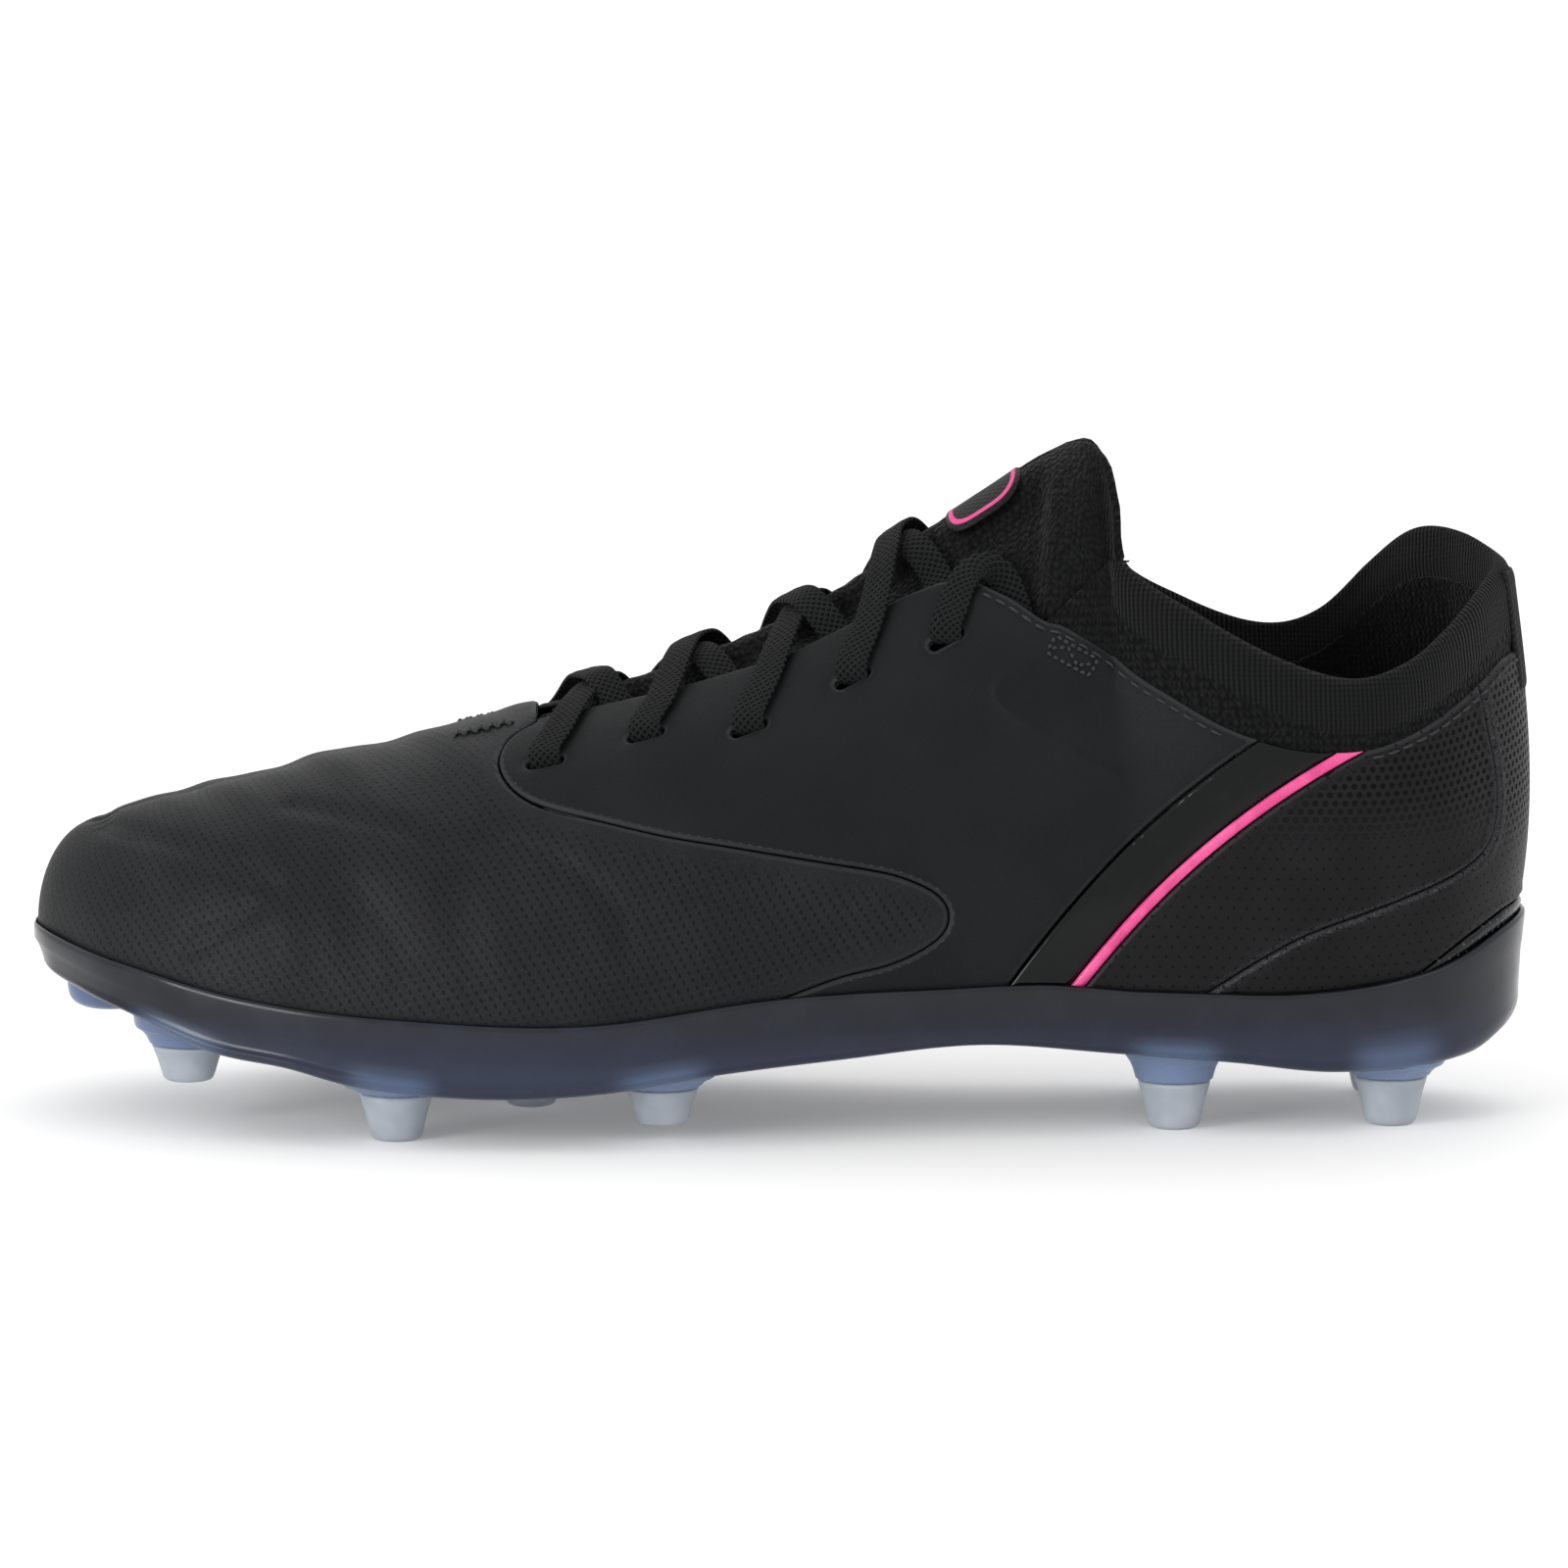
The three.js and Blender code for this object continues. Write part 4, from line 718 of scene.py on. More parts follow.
class Shade:
    """A short way to write a node tree."""

    def __init__(self, name):
        self.mat = bpy.data.materials.new(name)
        self.mat.use_nodes = True
        self.nt = self.mat.node_tree
        self.bsdf = self.nt.nodes["Principled BSDF"]

    def put(self, socket, value):
        if hasattr(value, "is_linked"):
            self.nt.links.new(value, socket)
        else:
            socket.default_value = value

    def node(self, kind, out=0, props=None, **inputs):
        n = self.nt.nodes.new("ShaderNode" + kind)
        for k, v in (props or {}).items():
            setattr(n, k, v)
        for k, v in inputs.items():
            self.put(n.inputs[k.replace("_", " ")], v)
        return n.outputs[out]

    def math(self, op, a, b=None, c=None):
        n = self.nt.nodes.new("ShaderNodeMath")
        n.operation = op
        for i, v in enumerate((a, b, c)):
            if v is not None:
                self.put(n.inputs[i], v)
        return n.outputs[0]

    def mul(self, a, b):
        return self.math("MULTIPLY", a, b)

    def add(self, a, b):
        return self.math("ADD", a, b)

    def less(self, a, b):
        return self.math("SUBTRACT", a, b)

    def wave(self, x, pitch):
        return self.math("SINE", self.mul(x, 2 * PI / pitch))

    def uv(self):
        """Millimetres along and across the panel."""
        n = self.node("SeparateXYZ", Vector=self.node("UVMap", props={"uv_map": "mm"})).node
        return n.outputs[0], n.outputs[1]

    def where(self):
        return self.node("TexCoord", 3)

    def field(self, name):
        return self.node("Attribute", "Fac", {"attribute_name": name})

    def noise(self, scale, detail=3.0, rough=0.5):
        return self.node("TexNoise", Vector=self.where(), Scale=scale, Detail=detail, Roughness=rough)

    def cells(self, scale):
        return self.node("TexVoronoi", Vector=self.where(), Scale=scale)

    def ramp(self, x, lo, hi, a=0.0, b=1.0):
        """A smooth step from a at lo to b at hi."""
        return self.node("MapRange", props={"interpolation_type": "SMOOTHSTEP"}, Value=x, From_Min=lo, From_Max=hi,
                         To_Min=a, To_Max=b)

    def mix(self, f, a, b):
        n = self.nt.nodes.new("ShaderNodeMix")
        n.data_type = "RGBA"
        self.put(n.inputs[0], f)
        self.put(n.inputs[6], a)
        self.put(n.inputs[7], b)
        return n.outputs[2]

    def bump(self, height, distance, strength=1.0, normal=None):
        more = {} if normal is None else {"Normal": normal}
        return self.node("Bump", Height=height, Distance=distance, Strength=strength, **more)

    def dots(self, u, v, pitch_u, pitch_v, ru, rv, slant=0.0):
        """1 inside staggered holes."""
        best = None
        for k in (0.0, 0.5):
            fu = self.less(self.math("FRACT", self.add(self.math("DIVIDE", u, pitch_u), k)), 0.5)
            fv = self.less(self.math("FRACT", self.add(self.math("DIVIDE", v, pitch_v), k)), 0.5)
            x = self.math("MULTIPLY_ADD", fv, slant * pitch_v, self.mul(fu, pitch_u))
            y = self.mul(fv, pitch_v)
            x, y = self.math("DIVIDE", x, ru), self.math("DIVIDE", y, rv)
            d = self.math("SQRT", self.add(self.mul(x, x), self.mul(y, y)))
            best = d if best is None else self.math("MINIMUM", best, d)
        return self.ramp(best, 0.82, 1.15, 1.0, 0.0)

    def finish(self, **inputs):
        for k, v in inputs.items():
            self.put(self.bsdf.inputs[k.replace("_", " ")], v)
        return self.mat


def vamp_material():
    s = Shade("perforated_upper")
    u, v = s.uv()
    grain, broad = s.noise(2600, 4), s.noise(60, 3)
    speck = s.ramp(s.noise(4200, 1), 0.6, 0.72)
    pits = s.cells(1500)
    holes = s.mul(s.dots(u, v, 1.8, 3.1, 0.25, 0.42, 0.35), s.field("perf"))
    # lighter towards the seam edge, fading out within about a millimetre
    lighter_edge = s.ramp(s.field("edge"), 0.15, 1.0, 0.35, 0.0)
    col = s.mix(s.ramp(broad, 0.35, 0.65), lin(17, 18, 20), lin(22, 23, 25))
    col = s.mix(s.mul(speck, 0.3), col, lin(62, 64, 67))
    col = s.mix(lighter_edge, col, lin(64, 66, 69))
    col = s.mix(holes, col, lin(3, 3, 4))
    h = s.add(s.mul(grain, 0.35), s.mul(pits, 0.4))
    n = s.bump(h, 0.00018, 0.55)
    n = s.bump(s.less(1.0, holes), 0.0003, 0.9, n)
    rough = s.ramp(grain, 0.3, 0.7, 0.48, 0.62)
    return s.finish(Base_Color=col, Roughness=rough, Normal=n, Specular_IOR_Level=0.17,
                    Sheen_Weight=0.01, Sheen_Roughness=0.4)


def quarter_material():
    s = Shade("smooth_upper")
    grain, broad = s.noise(3000, 4), s.noise(45, 2)
    speck = s.ramp(s.noise(5200, 1), 0.62, 0.74)
    col = s.mix(s.ramp(broad, 0.35, 0.65), lin(13, 15, 16), lin(18, 20, 21))
    col = s.mix(s.mul(speck, 0.2), col, lin(52, 54, 56))
    col = s.mix(s.ramp(s.field("edge"), 0.1, 0.8, 0.4, 0.0), col, lin(64, 66, 68))
    n = s.bump(s.add(s.mul(grain, 0.4), s.mul(s.cells(1300), 0.3)), 0.00013, 0.5)
    return s.finish(Base_Color=col, Roughness=s.ramp(grain, 0.3, 0.7, 0.52, 0.66), Normal=n, Specular_IOR_Level=0.15)


def heel_material():
    s = Shade("heel_upper")
    u, v = s.uv()
    grain = s.noise(2800, 4)
    holes = s.mul(s.dots(u, v, 1.8, 3.1, 0.5, 0.5), s.field("perf"))
    tiny = s.mul(s.dots(u, v, 2.4, 3.8, 0.24, 0.24), s.less(1.0, s.field("perf")))
    holes = s.math("MAXIMUM", holes, s.mul(tiny, 0.8))
    # painted highlight: bright glints along the ridge beside the rear seam
    painted_glint = s.mul(s.ramp(s.noise(5000, 1), 0.55, 0.7), s.field("ridge"))
    col = s.mix(s.ramp(s.noise(55, 2), 0.35, 0.65), lin(11, 11, 13), lin(17, 17, 19))
    col = s.mix(s.mul(painted_glint, 0.8), col, lin(112, 112, 118))
    col = s.mix(s.ramp(s.field("edge"), 0.1, 0.8, 0.35, 0.0), col, lin(66, 66, 70))
    col = s.mix(holes, col, lin(3, 3, 4))
    n = s.bump(grain, 0.00012, 0.5)
    n = s.bump(s.less(1.0, holes), 0.0006, 1.0, n)
    rough = s.add(s.ramp(grain, 0.3, 0.7, 0.36, 0.5), s.mul(holes, 0.45))
    return s.finish(Base_Color=col, Roughness=rough, Normal=n, Specular_IOR_Level=0.15)


def gloss_material():
    s = Shade("gloss_black")
    film = s.noise(700, 2)
    scuff = s.noise(260, 4, 0.7)
    col = s.mix(s.ramp(scuff, 0.5, 0.75), lin(3, 4, 5), lin(9, 10, 12))
    return s.finish(Base_Color=col, Roughness=s.ramp(scuff, 0.4, 0.8, 0.1, 0.2), Normal=s.bump(film, 0.00003, 0.2),
                    Specular_IOR_Level=0.16, Coat_Weight=0.12, Coat_Roughness=0.1)


def clip_material():
    s = Shade("gloss_heel_clip")
    u, v = s.uv()
    dots = s.dots(u, v, 2.4, 3.6, 0.26, 0.26)
    col = s.mix(dots, s.mix(s.noise(300, 3), lin(6, 7, 9), lin(12, 13, 16)), lin(70, 74, 82))
    return s.finish(Base_Color=col, Roughness=0.24, Normal=s.bump(dots, 0.00012, 0.6),
                    Specular_IOR_Level=0.25, Coat_Weight=0.12, Coat_Roughness=0.12)


def pink_material():
    s = Shade("pink_piping")
    grain = s.noise(2200, 3)
    col = s.mix(s.ramp(s.noise(200, 2), 0.35, 0.65), lin(206, 52, 122), lin(226, 76, 142))
    return s.finish(Base_Color=col, Roughness=s.ramp(grain, 0.3, 0.7, 0.34, 0.5), Normal=s.bump(grain, 0.0001, 0.45),
                    Coat_Weight=0.15)


def knit_material(name, dark, light, rib, row, ribs_at_rim=False):
    s = Shade(name)
    u, v = s.uv()
    wob = s.mul(s.less(s.noise(420, 3), 0.5), 2.2)
    column = s.math("SINE", s.mul(s.add(u, wob), 2 * PI / rib))
    loops = s.math("SINE", s.mul(s.add(v, s.mul(column, row * 0.2)), 2 * PI / row))
    rows = s.math("MULTIPLY_ADD", loops, 0.3, s.math("MULTIPLY_ADD", column, 0.3, 0.35))
    terry = s.math("MULTIPLY_ADD", s.cells(950), -1.3, rows)
    h = terry
    if ribs_at_rim:
        fine = s.math("MULTIPLY_ADD", s.wave(v, 0.9), 0.25,
                      s.mul(s.wave(u, 0.86), 0.8))
        f = s.field("rib")
        h = s.add(s.mul(fine, f), s.mul(terry, s.less(1.0, f)))
    col = s.mix(s.ramp(h, -0.9, 0.6), dark, light)
    fuzz = s.noise(6000, 2)
    n = s.bump(h, 0.00035, 0.75)
    n = s.bump(fuzz, 0.0001, 0.4, n)
    return s.finish(Base_Color=col, Roughness=0.95, Normal=n, Specular_IOR_Level=0.12,
                    Sheen_Weight=0.06, Sheen_Roughness=0.5)


def lace_material():
    s = Shade("braided_lace")
    u, v = s.uv()
    a = s.math("SINE", s.mul(s.add(u, v), 2 * PI / 1.45))
    b = s.math("SINE", s.mul(s.less(u, v), 2 * PI / 1.45))
    h = s.math("MAXIMUM", a, b)
    col = s.mix(s.ramp(h, -0.2, 0.95), lin(2, 2, 3), lin(32, 33, 34))
    col = s.mix(s.mul(s.noise(5200, 2), 0.3), col, lin(11, 12, 12))
    return s.finish(Base_Color=col, Roughness=0.78, Normal=s.bump(h, 0.00045, 0.9),
                    Sheen_Weight=0.02, Specular_IOR_Level=0.1)


def sole_material(name, top, low, z_top, z_low, rough, roots=False):
    """Smooth moulded plastic, lighter towards z_low; round the studs too where the mesh has roots."""
    s = Shade(name)
    z = s.node("SeparateXYZ", 2, Vector=s.where())
    f = s.ramp(z, z_low * MM, z_top * MM)
    haze = s.noise(120, 3)
    col = s.mix(f, low, top)
    col = s.mix(s.mul(s.ramp(haze, 0.3, 0.8), 0.04), col, lin(80, 96, 124))
    if roots:
        col = s.mix(s.mul(s.field("root"), 0.7), col, lin(80, 96, 126))
    n = s.bump(s.noise(900, 3), 0.00004, 0.2)
    return s.finish(Base_Color=col, Roughness=s.ramp(haze, 0.3, 0.7, rough, rough + 0.12), Normal=n,
                    IOR=1.48, Specular_IOR_Level=0.32, Coat_Weight=0.12, Coat_Roughness=0.1)


def tip_material():
    s = Shade("clear_stud_tip")
    haze = s.noise(160, 2)
    col = s.mix(s.ramp(haze, 0.2, 0.8), lin(168, 176, 186), lin(190, 197, 206))
    return s.finish(Base_Color=col, Roughness=s.ramp(haze, 0.2, 0.8, 0.34, 0.46),
                    Normal=s.bump(s.noise(900, 2), 0.00003, 0.2), Transmission_Weight=0.3, IOR=1.46)


def woven_material(name, dark, light, pitch=0.9, rough=0.8):
    s = Shade(name)
    u, v = s.uv()
    a = s.wave(u, pitch)
    b = s.wave(v, pitch)
    h = s.mul(a, b)
    col = s.mix(s.ramp(h, -0.8, 0.8), dark, light)
    return s.finish(Base_Color=col, Roughness=rough, Normal=s.bump(h, 0.0002, 0.7), Specular_IOR_Level=0.3)


def patch_material():
    s = Shade("patch_rubber")
    u, v = s.uv()
    h = s.mul(s.wave(u, 1.4), s.wave(v, 1.4))
    rim = s.field("rim")
    ring = s.mul(s.ramp(rim, 0.77, 0.8), s.ramp(rim, 0.91, 0.88))
    col = s.mix(s.ramp(h, -0.8, 0.8), lin(7, 7, 8), lin(17, 18, 19))
    col = s.mix(ring, col, s.mix(s.noise(900, 3), lin(196, 60, 120), lin(222, 84, 146)))
    return s.finish(Base_Color=col, Roughness=0.55, Normal=s.bump(h, 0.0001, 0.5), Specular_IOR_Level=0.2)


def thread_material():
    s = Shade("thread")
    twist = s.noise(4000, 2)
    col = s.mix(s.ramp(twist, 0.35, 0.65), lin(8, 9, 10), lin(34, 36, 38))
    return s.finish(Base_Color=col, Roughness=0.6, Normal=s.bump(twist, 0.0001, 0.6))


def plain_grain(name, a, b, scale, rough):
    s = Shade(name)
    g = s.noise(scale, 4)
    return s.finish(Base_Color=s.mix(s.ramp(g, 0.35, 0.65), a, b), Roughness=rough, Normal=s.bump(g, 0.0002, 0.5))


# ------------------------------------------------------------------ the upper
FOLDS = (
    ([[-131, 55], [-122, 54.5], [-112, 53], [-101, 50.5], [-94, 47.5]], 2.2, -0.8),
    ([[-95, 46], [-101, 42], [-107, 38.5], [-111, 35]], 2.0, -0.75),
    ([[-92, 61], [-82, 60], [-70, 57.5], [-58, 52.5]], 2.2, -0.65),
    ([[-56, 57.5], [-45, 54.5], [-36, 50], [-30.5, 44], [-29, 37]], 2.0, -0.75),
    ([[-84, 50], [-76, 45], [-72, 38], [-71, 31]], 3.2, -0.5),
)


def creases(sh):
    """Soft folds and padded relief of the forefoot, in millimetres."""
    x, y, z = sh.p.T
    v = sh.tv[:, 1]
    zone = smooth(-139, -120, x) * smooth(-22, -52, x) * smooth(0.02, 0.2, v)
    a = x * 0.95 + z * 0.35 + 6 * np.sin(y * 0.06)
    folds = 0.17 * np.sin(a * 0.3 + 1.3 * np.sin(z * 0.09)) + 0.08 * np.sin(a * 0.62 + 0.6 * np.sin(y * 0.13 + 1))
    pods = 0.22 * np.sin(z * 0.19 + x * 0.13 + 0.8 * np.sin(x * 0.07)) + 0.1 * np.sin(x * 0.17 - z * 0.21)
    d = zone * (1.3 * folds + 1.3 * pods - 0.4)
    for line, width, depth in FOLDS:
        d = d + line_bulge(sh, curve2(line, 1.0), width, depth)
    return d


def line_bulge(sh, line, width, height):
    tv = on_sheet(sh.side, line)
    p = at(sh.side, *tv.T)
    k = np.linspace(0, len(p) - 1, len(p) * 3)
    p = np.stack([np.interp(k, np.arange(len(p)), p[:, i]) for i in range(3)], 1)
    d = near(sh.p, p)
    return height * mark(d, 0, width)


PANEL_BACK = -1.15


def upper(sheets):
    """The outer panels; returns the distance function that the knits use too."""
    leather, heel, gloss, pink = quarter_material(), heel_material(), gloss_material(), pink_material()
    cache = {}

    def edge(*names):
        def f(sh):
            key = (sh.side,) + names
            if key not in cache:
                cache[key] = np.maximum(sh.to_lines(*names) - GAP / 2, 0)
            return cache[key]
        return f

    def out(names, rise=0.0, reach=0.9, depth=0.5, more=None):
        e = edge(*names)
        return lambda sh: (rolled(e(sh), reach, depth) + rise * smooth(0.02, 0.09, sh.tv[:, 1])
                           + (more(sh) if more else 0))

    def sides(sh):
        x, y, z = sh.p.T
        return smooth(0.98, 0.86, sh.tv[:, 1]) * smooth(0.02, 0.1, sh.tv[:, 1]) * smooth(2.0, 4.5, edge("seam")(sh))

    layer("vamp_shell", sheets, "vamp", out(("seam",), more=creases), PANEL_BACK, vamp_material(), "vamp", ["vamp"],
          attrs={"edge": edge("seam"), "perf": sides})
    rows = ("seam", "collar", "throat", "slot", "stripe5")

    def rises(sh):
        """The embossed line, and the pressed lines that run beside the edges."""
        collar, throat, seam = (edge(name)(sh) for name in ("collar", "throat", "seam"))
        return (line_bulge(sh, EMBOSS_XZ, 0.7, 0.5) + 0.16 * mark(collar, 2.9, 0.7) - 0.16 * mark(collar, 1.6, 0.35)
                - 0.14 * mark(throat, 1.6, 0.35) - 0.14 * mark(seam, 1.5, 0.35))

    for side in SIDES:
        one = [sh for sh in sheets if sh.side == side]
        layer("quarter_shell_" + side, one, "quarter", out(rows, more=rises), PANEL_BACK, leather, "quarter",
              ["quarter_" + side], attrs={"edge": edge(*rows)})
        layer("gloss_inlay_" + side, one, "gloss_band", out(("stripe3", "stripe4", "collar"), 0.35, 0.8, 0.4),
              PANEL_BACK, gloss, "gloss", ["gloss_band_" + side])
        layer("piping_cord_" + side, one, "piping", out(("stripe1", "stripe2", "collar"), 0.42, 1.0, 0.42),
              PANEL_BACK, pink, "piping", ["piping_" + side])
        names = ("stripe0", "rear", "collar")
        holes = lambda sh: smooth(52, 66, sh.p[:, 2]) * smooth(1.6, 2.4, edge(*names)(sh))
        # ridge: where the heel colour gets its painted highlight, along the rear seam
        ridge = lambda sh: mark(edge("rear")(sh), 0.35, 0.4)
        bead = lambda sh: 0.3 * mark(edge("rear")(sh), 0.9, 0.7)
        layer("heel_side_" + side, one, "heel_panel", out(names, more=bead), PANEL_BACK, heel, "heel_panel",
              ["heel_panel_" + side], chart="heel", attrs={"edge": edge(*names), "perf": holes, "ridge": ridge})
    names = ("rear", "clip", "collar")
    holes = lambda sh: smooth(50, 64, sh.p[:, 2]) * smooth(1.6, 2.4, edge(*names)(sh))
    # ridge: where the painted highlight lies, along the rear and clip seams
    ridge = lambda sh: mark(np.minimum(edge("rear")(sh), edge("clip")(sh)), 0.35, 0.4)
    bead = lambda sh: 0.28 * mark(edge("rear")(sh), 0.9, 0.7) + 0.25 * mark(edge("clip")(sh), 0.9, 0.7)
    layer("heel_back", sheets, "heel_wrap", out(names, more=bead), PANEL_BACK, heel, "heel_panel", ["heel_wrap"],
          chart="heel", attrs={"edge": edge(*names), "perf": holes, "ridge": ridge})
    layer("heel_clip_shell", sheets, "heel_clip", out(("clip",), 0.35), PANEL_BACK, clip_material(), "clip", ["heel_clip"],
          chart="heel")
    return edge


def zone(sh, t0=-1, t1=2, v1=2.0):
    """The triangles above the sole's rounded edge and between limits of t and v."""
    t, v = sh.mid_tv.T
    return (t > t0) & (t < t1) & (v > -0.2) & (v < v1)


def knits(sheets, edge):
    def rim(sh):
        """Distance down from the collar's top edge, in millimetres."""
        t, v = sh.tv.T
        return lookup(ARC_V[sh.side], t, t * 0 + 1) - lookup(ARC_V[sh.side], t, v) + 15 * smooth(0.606, 0.598, t)

    def sock(sh):
        x, y, z = sh.p.T
        r, e = rim(sh), edge("collar")(sh)
        soft = 1.1 * smooth(0.0, 5.0, e) * smooth(0, 4, r) * 0.6
        wave = 0.16 * np.sin(x * 1.1 + 1.5 * np.sin(z * 0.5)) * np.sin(z * 1.25 + np.sin(x * 0.7)) * smooth(2, 6, r)
        groove = -0.2 * mark(r, 10.6, 1.0)
        return -0.9 + rolled(r, 2.2, 1.3) + soft + wave * smooth(9, 12, r) + groove

    inner = lambda sh: -4.1 + 0.9 * smooth(7, 1, rim(sh)) - rolled(rim(sh), 1.6, 0.6)
    ribbed = knit_material("collar_knit", lin(4, 4, 4), lin(22, 23, 23), 1.25, 1.7, True)
    collar = layer("collar_sock", sheets, "collar_knit", sock, inner, ribbed, "knit", ["collar_knit"],
                   chart="heel", attrs={"rib": lambda sh: smooth(11.5, 9.5, rim(sh))})

    def dome(sh):
        x, y, z = sh.p.T
        v = sh.tv[:, 1]
        low = -4.6
        lift = smooth(18, 34, x) * smooth(0.8, 0.95, v)
        d = low + (-0.7 - low) * lift + (1 - lift) * 3.9 * smooth(0.9, 0.985, v) * smooth(-41, -35, x)
        exposed = smooth(46, 50, x) * smooth(-1.0, 2.0, z - collar_z(x))
        d = d * (1 - exposed) + exposed * (-0.9)
        ridge = 0.12 * np.sin(x * 1.5 + 0.9 * np.sin(y * 0.4)) * smooth(34, 26, x)
        return d + ridge + rolled(rim(sh), 1.5, 0.9)

    def under(sh):
        thin = smooth(14, 3, rim(sh))
        return -6.3 + 2.2 * smooth(40, 52, sh.p[:, 0]) + 1.8 * thin

    tongue = layer("tongue_sock", sheets, "tongue", dome, under,
                   knit_material("tongue_knit", lin(3, 3, 4), lin(20, 21, 21), 1.3, 1.7), "tongue", ["tongue_knit"])


def linings(sheets):
    """What is behind the outer panels: linings, padding and stiffeners, each on its own depth."""
    lining = knit_material("brushed_lining", lin(4, 4, 4), lin(14, 14, 15), 1.3, 1.3)
    foam = plain_grain("foam", lin(40, 41, 43), lin(58, 59, 61), 1800, 0.95)
    board = plain_grain("pressed_board", lin(26, 27, 29), lin(44, 45, 48), 900, 0.85)

    def pad(sh):
        return zone(sh, 0.66, v1=0.86) & (sh.mid[:, 2] < collar_z(sh.mid[:, 0]) - 4.8)

    def waist(sh):
        x, y, z = sh.mid.T
        low = (sh.mid_tv[:, 1] < 0.46) & (x > -49) & (x < 56)
        behind_band = (x > 38) & (x < 67) & (z < 80) & (z < collar_z(x) - 5)
        return zone(sh) & (low | behind_band)

    def backer(sh):
        x = sh.mid[:, 0]
        return sh.part["quarter"] & (sh.mid_tv[:, 1] > 0.5) & (x > -44) & (x < 34)

    def inner(name, part, top, low, mat, slot, nodes, chart="ridge"):
        return layer(name, sheets, part, top, low, mat, slot, nodes, chart=chart)

    inner("heel_bed_lining", lambda sh: zone(sh, 0.666, v1=0.88), -4.5, -5.4, lining, "lining",
          ["collar_lining"], "heel")
    ankle = inner("ankle_padding", pad, -2.5, -4.3, foam, "foam",
                  ["ankle_pad_lateral", "ankle_pad_medial", "heel_pad"], "heel")
    inner("forefoot_lining", lambda sh: zone(sh, t1=0.37) & (sh.mid[:, 0] < -49.5), -2.6, -4.2, lining, "lining",
          ["vamp_lining"])
    inner("waist_lining", waist, -2.6, -4.2, lining, "lining", ["midfoot_lining_lateral", "midfoot_lining_medial"])
    inner("toe_stiffener", lambda sh: zone(sh, t1=0.2, v1=0.76), -1.7, -2.2, board, "stiffener", ["toe_puff"])
    inner("heel_stiffener", lambda sh: zone(sh, 0.72, v1=0.62), -1.5, -2.1, board, "stiffener",
          ["heel_counter"], "heel")
    inner("eyestay_stiffener", backer, -1.5, -2.1, board, "stiffener",
          ["eyestay_backer_lateral", "eyestay_backer_medial"])


def stitches(edge_lines, name, length, pause, width, rise, mat, slot):
    """Short raised threads along lines on the sheet; each line is (side, sheet coordinates, offset)."""
    V, F = [], []
    ring = 7
    for side, tv, off in edge_lines:
        p = at(side, *tv.T)
        s = np.r_[0, np.cumsum(np.linalg.norm(np.diff(p, axis=0), axis=1))]
        start = pause
        while start + length < s[-1] - 0.5:
            k = np.linspace(start, start + length, 7)
            t, v = np.interp(k, s, tv[:, 0]), np.interp(k, s, tv[:, 1])
            lift = np.sin(np.linspace(0, PI, 7)) ** 0.6
            c = at(side, t, v, off + rise * (lift - 0.55))
            n = at(side, t, v, off + 1.0) - at(side, t, v, off)
            w = unit(np.cross(unit(np.gradient(c, axis=0)), n))
            base = len(V)
            fat = width / 2 * (0.35 + 0.65 * np.sin(np.linspace(0.15, PI - 0.15, 7)) ** 0.5)
            for i in range(7):
                for j in range(ring):
                    a = 2 * PI * j / ring
                    V.append(c[i] + (w[i] * math.cos(a) + n[i] * math.sin(a)) * fat[i])
            F += tube(6, ring, base) + caps(6, ring, base)
            start += length + pause
    return build(name, V, F, mat, slot)


BOX_AT = (53.4, 89.4)
BOX_LOOP = ((-1, -0.7), (-0.9, -1), (0.9, -1), (1, -0.7), (1, 0.7), (0.9, 1), (-0.9, 1), (-1, 0.7), (-1, -0.5),
            (-0.33, 0.6), (0.33, -0.6), (1, 0.5))


def seams():
    """The row under the collar, the fine row along the vamp, and the tacks at the two ends of the throat."""
    thread = thread_material()
    rows, fine = [], []
    for side in SIDES:
        top = shifted(COLLAR_XZ, -1.7)
        rows.append((side, on_sheet(side, top[(top[:, 0] > 36) & (top[:, 0] < 82) & (top[:, 1] < 103)]), 0.0))
        rows.append((side, on_sheet(side, top[top[:, 0] > 108]), 0.0))
        low = shifted(SEAM_XZ, -0.9)
        fine.append((side, on_sheet(side, low[(low[:, 1] > 30) & (low[:, 1] < 73)]), -0.22))
    stitches([q for q in rows if len(q[1]) > 4], "upper_stitching", 2.4, 0.6, 0.62, 0.34, thread, "quarter")
    stitches([q for q in fine if len(q[1]) > 4], "seam_stitching", 1.2, 0.7, 0.34, 0.12, thread, "quarter")
    tacks = []
    long, short = np.array([0.87, -0.49]), np.array([0.49, 0.87])
    box = [np.array(BOX_AT) + long * 4.5 * a + short * 1.7 * b for a, b in BOX_LOOP]
    zigzag = [[-62 + 1.05 * k, 0.9 if k % 2 else -0.9] for k in range(12)]
    for side, y in (("lateral", -9.0), ("medial", 15.0)):
        tacks.append((side, on_sheet(side, straight(box, 0.4)), 0.0))
        tacks.append((side, on_sheet(side, straight([[x, y + d] for x, d in zigzag], 0.3), (0, 1)), 0.0))
    stitches([q for q in tacks if len(q[1]) > 4], "bartacks", 1.3, 0.12, 0.85, 0.46, thread, "quarter")


# ------------------------------------------------------------------ lace
LACE_WIDTH, LACE_THICKNESS = 6.0, 1.2
STIFF_IN = -2.2
LACE_OVER = LACE_THICKNESS / 2 + 0.4
LACE_RUN = STIFF_IN - (LACE_THICKNESS + 1.2) / 2
LACE_CROSSING = LACE_OVER + LACE_THICKNESS + 0.55


